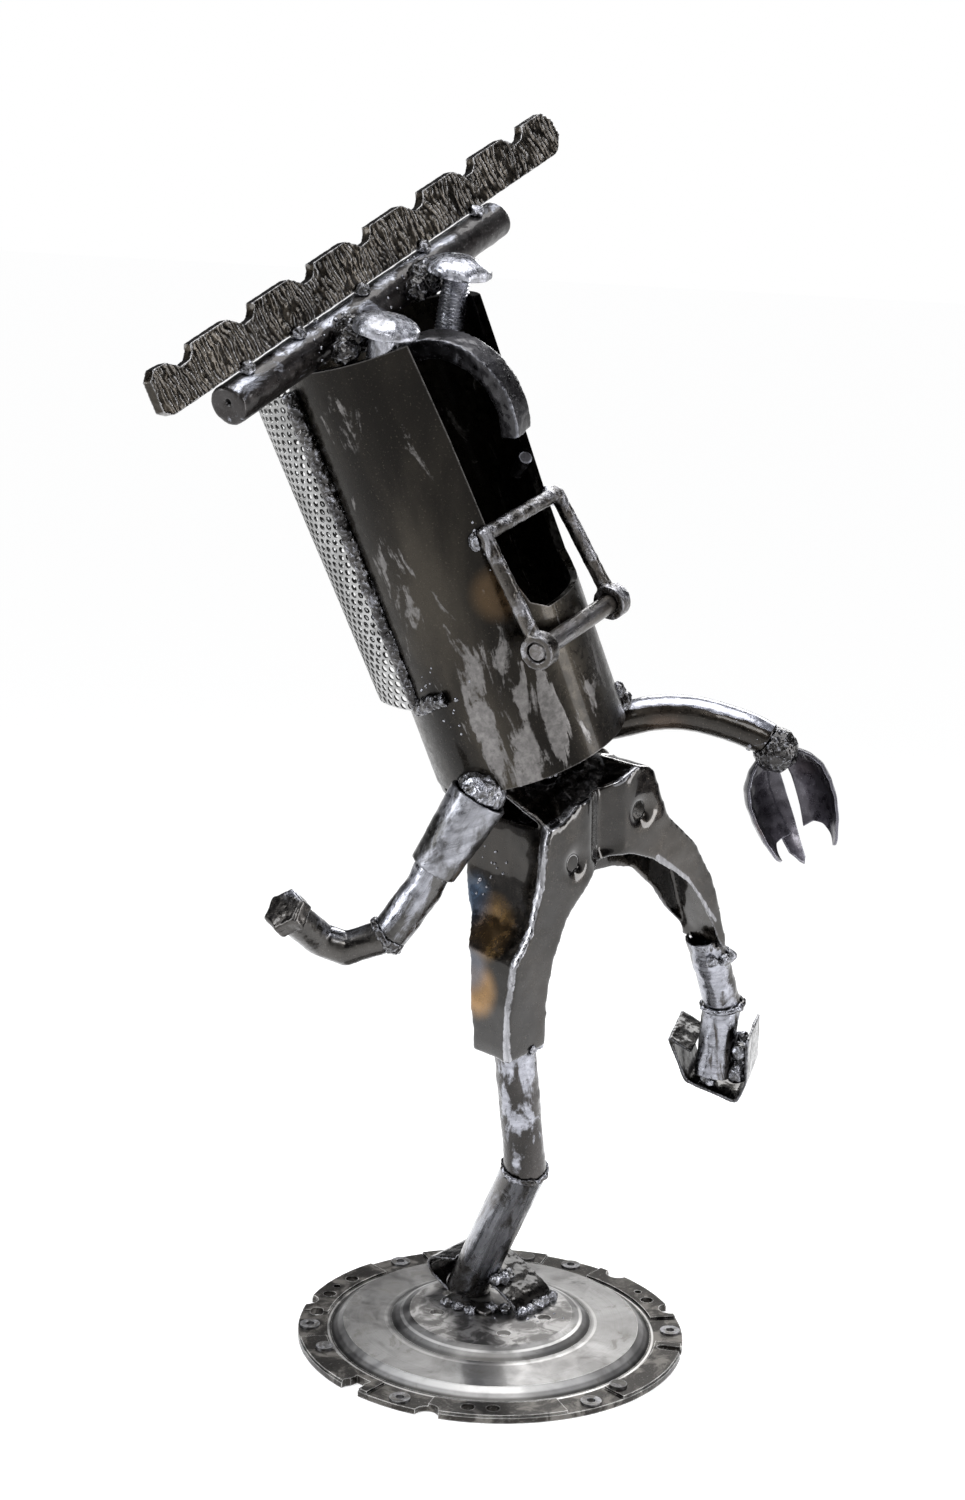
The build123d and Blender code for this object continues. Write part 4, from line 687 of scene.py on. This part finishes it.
worn("thigh_right", "right_thigh_worn", 0.0009, 0.00050, 0.015, mat_leg, smooth=3, extra=gouged)
worn("shin_right", "right_shin_worn", 0.0009, 0.00028, 0.020, mat_shin, smooth=3)
worn("shoe_right", "right_shoe_bent", 0.0008, 0.00035, 0.014, mat_shoe, smooth=3)
worn("shoe_left", "left_shoe_bent", 0.0008, 0.00040, 0.014, mat_shoe, smooth=3)
worn("shoe_strap", "foot_strap_worn", 0.0006, 0.00025, 0.006, mat_strap, smooth=3)

# ------------------------------------------------------------------ pelvis: pressed fork with rounded bends


def pelvis_fn(P, N):
    q = P - HIP_O
    s, u, n = (q @ HIP_L) * 1000, (q @ HIP_U) * 1000, (q @ HIP_N) * 1000
    d = np.zeros_like(P)
    front = np.clip((n - 6.0) / 8.0, 0, 1)
    # channel between the two bolt holes
    w = np.exp(-((s - 73.0 - 0.10 * (u - 120)) / 9.5) ** 2) * np.clip((u - 92.0) / 14.0, 0, 1)
    d -= HIP_N[None, :] * (w * front * 0.0075)[:, None]
    # dished rings round the bolt holes
    for cs, cu in ((46.0, 109.0), (102.0, 121.0)):
        rr = np.hypot(s - cs, u - cu)
        d -= HIP_N[None, :] * (np.exp(-((rr - 3.0) / 5.0) ** 2) * front * 0.0022)[:, None]
    d += N * (fbm(P, 0.030, 3) * 0.00055 - 0.0003)[:, None]
    return d


ob = remeshed(["pelvis_fork"], "pelvis_pressed", 0.00115, smooth=16, factor=0.6)
displace(ob, pelvis_fn)
sm = ob.modifiers.new("s", "SMOOTH")
sm.iterations = 5
sm.factor = 0.5
me = evaluated(ob)
ob.modifiers.clear()
ob.data = me
me.polygons.foreach_set("use_smooth", [True] * len(me.polygons))
finish_piece(ob, mat_pelvis, ["pelvis_fork"])

# ------------------------------------------------------------------ weld beads
welds = {
    "hair_weld_right": mat_weld_dark, "hair_weld_left": mat_weld_dark, "hair_weld_chin": mat_weld_dark, "crest_tacks": mat_weld,
    "eye_weld_right": mat_weld_dark, "eye_weld_left": mat_weld_dark, "shackle_weld_right": mat_weld, "shackle_weld_left": mat_weld,
    "neck_weld": mat_weld_dark, "knee_weld_right": mat_leg, "hip_weld_right": mat_weld, "foot_weld_right": mat_weld, "instep_weld_right": mat_weld,
    "knee_weld_left": mat_leg, "hip_weld_left": mat_weld, "foot_weld_left": mat_weld, "elbow_weld_right": mat_weld_dark, "shoulder_weld_right": mat_weld,
    "shoulder_weld_left": mat_weld_dark, "wrist_weld": mat_weld_dark,
}


def weld_fn(P, N):
    a = fbm(P, 0.0042, 3)
    b = 1.0 - np.abs(fbm(P + 5.0, 0.0075, 2))
    return a * 0.00085 + (b - 0.75) * 0.0011


for node, mt in welds.items():
    ob = remeshed([node], node + "_bead", 0.00065 if node != "neck_weld" else 0.0009, smooth=3)
    displace(ob, weld_fn)
    finish_piece(ob, mt, [node], margin=0.0009)

# ------------------------------------------------------------------ eye bolts: hammered mushroom heads, one on a threaded shank
BOLT = np.array([0.445, 0.168, 0.879])
bolt_dir = HEAD_F * BOLT[0] + HEAD_L * BOLT[1] + HEAD_A * BOLT[2]
bolt_dir /= np.linalg.norm(bolt_dir)


def bolt_mesh(name, centre, thread, seed):
    prof = [(0.02, 10.3), (3.0, 10.3), (6.6, 10.0), (9.5, 9.35), (12.0, 8.5), (14.4, 7.35), (16.5, 5.9), (18.1, 4.3), (19.0, 2.9), (19.2, 1.7), (18.8, 0.7), (17.6, 0.15), (14.0, 0.0), (10.5, 0.0), (8.6, -0.3)]
    z, step = -0.6, 0.25
    shank = []
    while z > -33.0:
        shank.append((8.0, z))
        z -= step if thread else 2.5
    prof = prof + shank + [(7.2, -34.2), (4.0, -34.4), (0.02, -34.4)]
    nth = 72
    x0 = np.cross(bolt_dir, HEAD_L)
    x0 /= np.linalg.norm(x0)
    y0 = np.cross(bolt_dir, x0)
    rnd = np.random.RandomState(seed)
    facet = [(rnd.uniform(0, 2 * math.pi), rnd.uniform(17.1, 18.3)) for _ in range(8)]
    verts, faces = [], []
    for r, z in prof:
        for k in range(nth):
            t = 2 * math.pi * k / nth
            rr = r
            if thread and -33 < z < -0.5:
                f = (z / 2.0 + k / nth) % 1.0
                rr = 8.0 - 1.15 * (1 - abs(2 * f - 1)) ** 0.9
            if z >= 0 and r > 15:
                for a, lim in facet:
                    c = math.cos(t - a)
                    if c > 0.05:
                        rr = min(rr, lim / c)
            verts.append(centre + (x0 * rr * math.cos(t) + y0 * rr * math.sin(t) + bolt_dir * z) / 1000.0)
    for i in range(len(prof) - 1):
        for k in range(nth):
            m = (k + 1) % nth
            faces.append((i * nth + k, (i + 1) * nth + k, (i + 1) * nth + m, i * nth + m))
    faces.append(tuple(range(nth))[::1])
    faces.append(tuple((len(prof) - 1) * nth + k for k in range(nth))[::-1])
    me = bpy.data.meshes.new(name)
    me.from_pydata([tuple(v) for v in verts], [], faces)
    bm = bmesh.new()
    bm.from_mesh(me)
    bmesh.ops.recalc_face_normals(bm, faces=bm.faces)
    bm.to_mesh(me)
    bm.free()
    o = new_object(name, me)

    def fn(P, N):
        z = (P - centre) @ bolt_dir * 1000
        head = np.clip((z + 0.2) / 1.0, 0, 1)
        return head * (fbm(P, 0.007, 3, seed=seed) * 0.00055 - 0.0004) - head * np.clip(fbm(P + 3, 0.012, 1, seed=seed) - 0.1, 0, 1) * 0.0011

    displace(o, fn)
    smooth_by_angle(me, 48)
    return o


ob = bolt_mesh("eye_bolt_right_head", hp(29.0, -40.5, 262.0), False, 3)
finish_piece(ob, mat_bolt, ["eye_bolt_right"], clamp=False)
ob = bolt_mesh("eye_bolt_left_head", hp(33.0, 39.5, 265.5), True, 5)
finish_piece(ob, mat_bolt, ["eye_bolt_left"], clamp=False)

# ------------------------------------------------------------------ hand: three curved fingers with pointed, hollowed ends
hd = np.array([0.080, -0.151, 0.305]) - np.array([0.066, -0.131, 0.372])
hd /= np.linalg.norm(hd)
hand_o = np.array([0.0698, -0.1352, 0.3756]) + hd * 0.003
hx = np.cross([0, 0, 1.0], hd)
hx /= np.linalg.norm(hx)
hy = np.cross(hd, hx)
HAND_R = [9.2, 13.2, 19.0, 24.2, 26.2, 25.9, 23.5, 19.7, 16.9]
HAND_S = [0.6, 2.9, 7.8, 16.0, 26.0, 37.2, 50.2, 61.4, 67.0]


def petal(name, a_outer, a_split, ends, seed, node, grow=0.0, gaps=(0.0, 3.0, 7.0, 6.5, 2.0, 0.0)):
    """a_outer, a_split: angles of the two long edges; ends: how far each line of the finger reaches."""
    nu, nv = 26, 44
    verts, faces = [], []
    for i in range(nv + 1):
        for j in range(nu + 1):
            t = j / nu
            reach = float(np.interp(t, [e[0] for e in ends], [e[1] for e in ends]))
            s = reach * 67.0 * (i / nv)
            r = float(np.interp(s, HAND_S + [76.5], HAND_R + [11.0])) + grow
            k = s / 67.0
            pinch_o = 9.0 * (1 - min(1.0, k / 0.10)) + 3.0 * max(0.0, k - 0.75) / 0.25
            gap = float(np.interp(k, [0, 0.12, 0.35, 0.65, 0.9, 1.0], gaps))
            sg = 1.0 if a_split > a_outer else -1.0
            a = (a_outer + sg * pinch_o) * (1 - t) + (a_split - sg * gap) * t
            a = math.radians(a)
            w = hand_o + hd * (s / 1000.0) + (hx * math.cos(a) + hy * math.sin(a)) * (r / 1000.0)
            verts.append(w)
    for i in range(nv):
        for j in range(nu):
            a = i * (nu + 1) + j
            faces.append((a, a + 1, a + nu + 2, a + nu + 1))
    me = bpy.data.meshes.new(name)
    me.from_pydata([tuple(v) for v in verts], [], faces)
    bm = bmesh.new()
    bm.from_mesh(me)
    bmesh.ops.recalc_face_normals(bm, faces=bm.faces)
    bm.to_mesh(me)
    bm.free()
    o = new_object(name, me)
    displace(o, lambda P, N: fbm(P, 0.018, 3, seed=seed) * 0.00045)
    s = o.modifiers.new("s", "SOLIDIFY")
    s.thickness = 0.0017
    s.offset = -1.0 if me.polygons[0].normal.dot(Vector(verts[0] - hand_o)) > 0 else 1.0
    b = o.modifiers.new("b", "BEVEL")
    b.width = 0.0003
    b.segments = 2
    b.limit_method = "ANGLE"
    b.angle_limit = math.radians(50)
    out = evaluated(o)
    o.modifiers.clear()
    o.data = out
    smooth_by_angle(out, 45)
    finish_piece(o, mat_blue, [node], margin=0.0008)
    return o


petal("finger_outer_cut", 256.0, 352.0, [(0, 0.90), (0.10, 0.96), (0.26, 1.0), (0.40, 0.95), (0.60, 0.87), (0.80, 0.86), (1.0, 0.86)], 1.0, "hand_finger_outer")
petal("finger_inner_cut", 106.0, 10.0, [(0, 0.93), (0.10, 0.985), (0.20, 1.0), (0.36, 0.93), (0.60, 0.83), (0.80, 0.80), (1.0, 0.83)], 2.0, "hand_finger_inner")
petal("finger_back_cut", 364.0, 334.0, [(0, 1.08), (0.3, 1.13), (0.6, 1.10), (1.0, 1.0)], 3.0, "hand_finger_back", grow=2.3, gaps=(0.0, 0.0, 2.0, 3.0, 1.0, 0.0))

# ------------------------------------------------------------------ spatter: droplets of weld on the metal next to the beads


def spatter():
    spots = [("head_tube", hp(-48, -30, 230), 0.030, 26), ("brow_bar", hp(4, -44, 262), 0.028, 26), ("brow_bar", hp(8, 34, 265), 0.026, 20), ("head_tube", hp(-8, -57, 58), 0.026, 34),
             ("head_tube", hp(8, -56, 4), 0.022, 26), ("head_tube", hp(44, -37, 140), 0.018, 16), ("base_disc", np.array([0.003, -0.02, 0.016]), 0.030, 22), ("pelvis_fork", pp(4, 112, -26), 0.026, 22),
             ("arm_left", np.array([0.062, -0.118, 0.38]), 0.018, 14), ("crest_plate", bp(-60, 12), 0.012, 6), ("crest_plate", bp(0, 12), 0.012, 6), ("crest_plate", bp(62, 12), 0.012, 6)]
    rnd = np.random.RandomState(21)
    bm = bmesh.new()
    for node, c, rad, count in spots:
        me = NODES[node].data
        P = coords(me)
        cen, nor, area = [], [], []
        for f in me.polygons:
            k = P[list(f.vertices)].mean(0)
            if np.linalg.norm(k - c) < rad * 1.6:
                cen.append(P[list(f.vertices)])
                nor.append(f.normal[:])
                area.append(f.area)
        if not cen:
            continue
        area = np.array(area) / sum(area)
        tries = 0
        got = 0
        while got < count and tries < 400:
            tries += 1
            i = rnd.choice(len(cen), p=area)
            tri = cen[i]
            w = rnd.dirichlet(np.ones(len(tri)))
            q = (tri * w[:, None]).sum(0)
            if np.linalg.norm(q - c) > rad * rnd.uniform(0.3, 1.0):
                continue
            r = rnd.uniform(0.00035, 0.00105) * (1.0 if rnd.rand() < 0.8 else 1.5)
            n = Vector(nor[i])
            m = Matrix.Translation(Vector(q)) @ n.to_track_quat("Z", "Y").to_matrix().to_4x4() @ Matrix.Diagonal((r, r, r * 0.7, 1.0))
            bmesh.ops.create_icosphere(bm, subdivisions=2, radius=1.0, matrix=m)
            got += 1
    me = bpy.data.meshes.new("weld_spatter")
    bm.to_mesh(me)
    bm.free()
    me.polygons.foreach_set("use_smooth", [True] * len(me.polygons))
    return new_object("weld_spatter", me)


ob = spatter()
finish_piece(ob, mat_weld, [])

# ------------------------------------------------------------------ CAD pieces that keep their own shape
dress("head_tube", mat_tube)
dress("base_disc", mat_disc)
dress("rim_tubular_rivets", mat_rivet)
dress("rim_solid_rivets", mat_rivet)
dress("mouth_pin", mat_pin)
dress("neck_plate", mat_plate)

# ------------------------------------------------------------------ floor, light, camera


def floor_material():
    M = Mat("studio_floor")
    n = M.noise(M.tc.outputs["Object"], 3.0, 2.0, 0.5)
    far = M.rng(M.vmath("LENGTH", M.tc.outputs["Object"]), 0.20, 1.4)
    M.l.new(M.mix(far, M.mix(n, (0.88, 0.88, 0.88), (0.91, 0.91, 0.91)), (0.05, 0.05, 0.05)), M.b.inputs["Base Color"])
    M.b.inputs["Roughness"].default_value = 0.9
    M.b.inputs["Specular IOR Level"].default_value = 0.1
    M.b.inputs["Emission Color"].default_value = (1, 1, 1, 1)
    M.l.new(M.mixf(far, 0.42, 0.97), M.b.inputs["Emission Strength"])
    return M.mat


bpy.ops.mesh.primitive_plane_add(size=30.0, location=(0, 0, -0.0002))
floor = bpy.context.object
floor.name = "floor"
floor.data.materials.append(floor_material())

world = bpy.data.worlds.new("studio")
SCN.world = world
world.use_nodes = True
wt = world.node_tree
bg = wt.nodes["Background"]
tc = wt.nodes.new("ShaderNodeTexCoord")
sep = wt.nodes.new("ShaderNodeSeparateXYZ")
wt.links.new(tc.outputs["Generated"], sep.inputs[0])
ramp = wt.nodes.new("ShaderNodeValToRGB")
wt.links.new(sep.outputs[2], ramp.inputs[0])
ramp.color_ramp.interpolation = "EASE"
el = ramp.color_ramp.elements
el[0].position = 0.0
el[0].color = (0.30, 0.30, 0.31, 1)
el[1].position = 1.0
el[1].color = (0.42, 0.44, 0.48, 1)
for pos, c in ((0.10, (0.30, 0.30, 0.31, 1)), (0.16, (0.05, 0.05, 0.055, 1)), (0.55, (0.05, 0.05, 0.055, 1)), (0.75, (0.36, 0.37, 0.40, 1))):
    e = el.new(pos)
    e.color = c
wt.links.new(ramp.outputs[0], bg.inputs[0])
bg.inputs[1].default_value = 1.0
white = wt.nodes.new("ShaderNodeBackground")
white.inputs[0].default_value = (1, 1, 1, 1)
lp = wt.nodes.new("ShaderNodeLightPath")
wmix = wt.nodes.new("ShaderNodeMixShader")
wt.links.new(lp.outputs["Is Camera Ray"], wmix.inputs[0])
wt.links.new(bg.outputs[0], wmix.inputs[1])
wt.links.new(white.outputs[0], wmix.inputs[2])
wt.links.new(wmix.outputs[0], wt.nodes["World Output"].inputs[0])

CENTRE = Vector((-0.04, -0.03, 0.38))
flat_f = Vector((CAM_F.x, CAM_F.y, 0)).normalized()
flat_r = Vector((CAM_R.x, CAM_R.y, 0)).normalized()


def area(name, right, toward, up, sx, sy, power, target=CENTRE, color=(1, 1, 1)):
    ld = bpy.data.lights.new(name, "AREA")
    ld.shape = "RECTANGLE"
    ld.size, ld.size_y = sx, sy
    ld.energy = power
    ld.color = color
    lo = bpy.data.objects.new(name, ld)
    SCN.collection.objects.link(lo)
    lo.location = CENTRE + flat_r * right - flat_f * toward + Vector((0, 0, up))
    lo.rotation_euler = (target - lo.location).to_track_quat("-Z", "Y").to_euler()
    return lo


area("key_left", -1.25, 0.55, 0.55, 0.55, 1.3, 15.0, color=(0.95, 0.97, 1.0))
area("strip_right", 1.20, 0.25, 0.15, 0.30, 1.3, 9.0, color=(0.98, 0.98, 1.0))
area("front_soft", 0.15, 1.5, 1.0, 0.7, 0.45, 8.0)
area("top_soft", 0.0, -0.1, 1.5, 1.2, 1.2, 20.0)
area("back_rim", 0.4, -1.3, 0.7, 1.0, 0.5, 10.0)

cam = bpy.data.cameras.new("camera")
co = bpy.data.objects.new("camera", cam)
SCN.collection.objects.link(co)
cam.sensor_fit = "VERTICAL"
cam.sensor_height = 36.0
cam.sensor_width = 36.0 * 965 / 1500
cam.lens = 62.01
cam.clip_start = 0.05
cam.clip_end = 60.0
m = Matrix((
    (CAM_R.x, CAM_U.x, -CAM_F.x, CAM_POS.x),
    (CAM_R.y, CAM_U.y, -CAM_F.y, CAM_POS.y),
    (CAM_R.z, CAM_U.z, -CAM_F.z, CAM_POS.z),
    (0, 0, 0, 1)))
co.matrix_world = m
SCN.camera = co
SCN.view_settings.view_transform = "Standard"
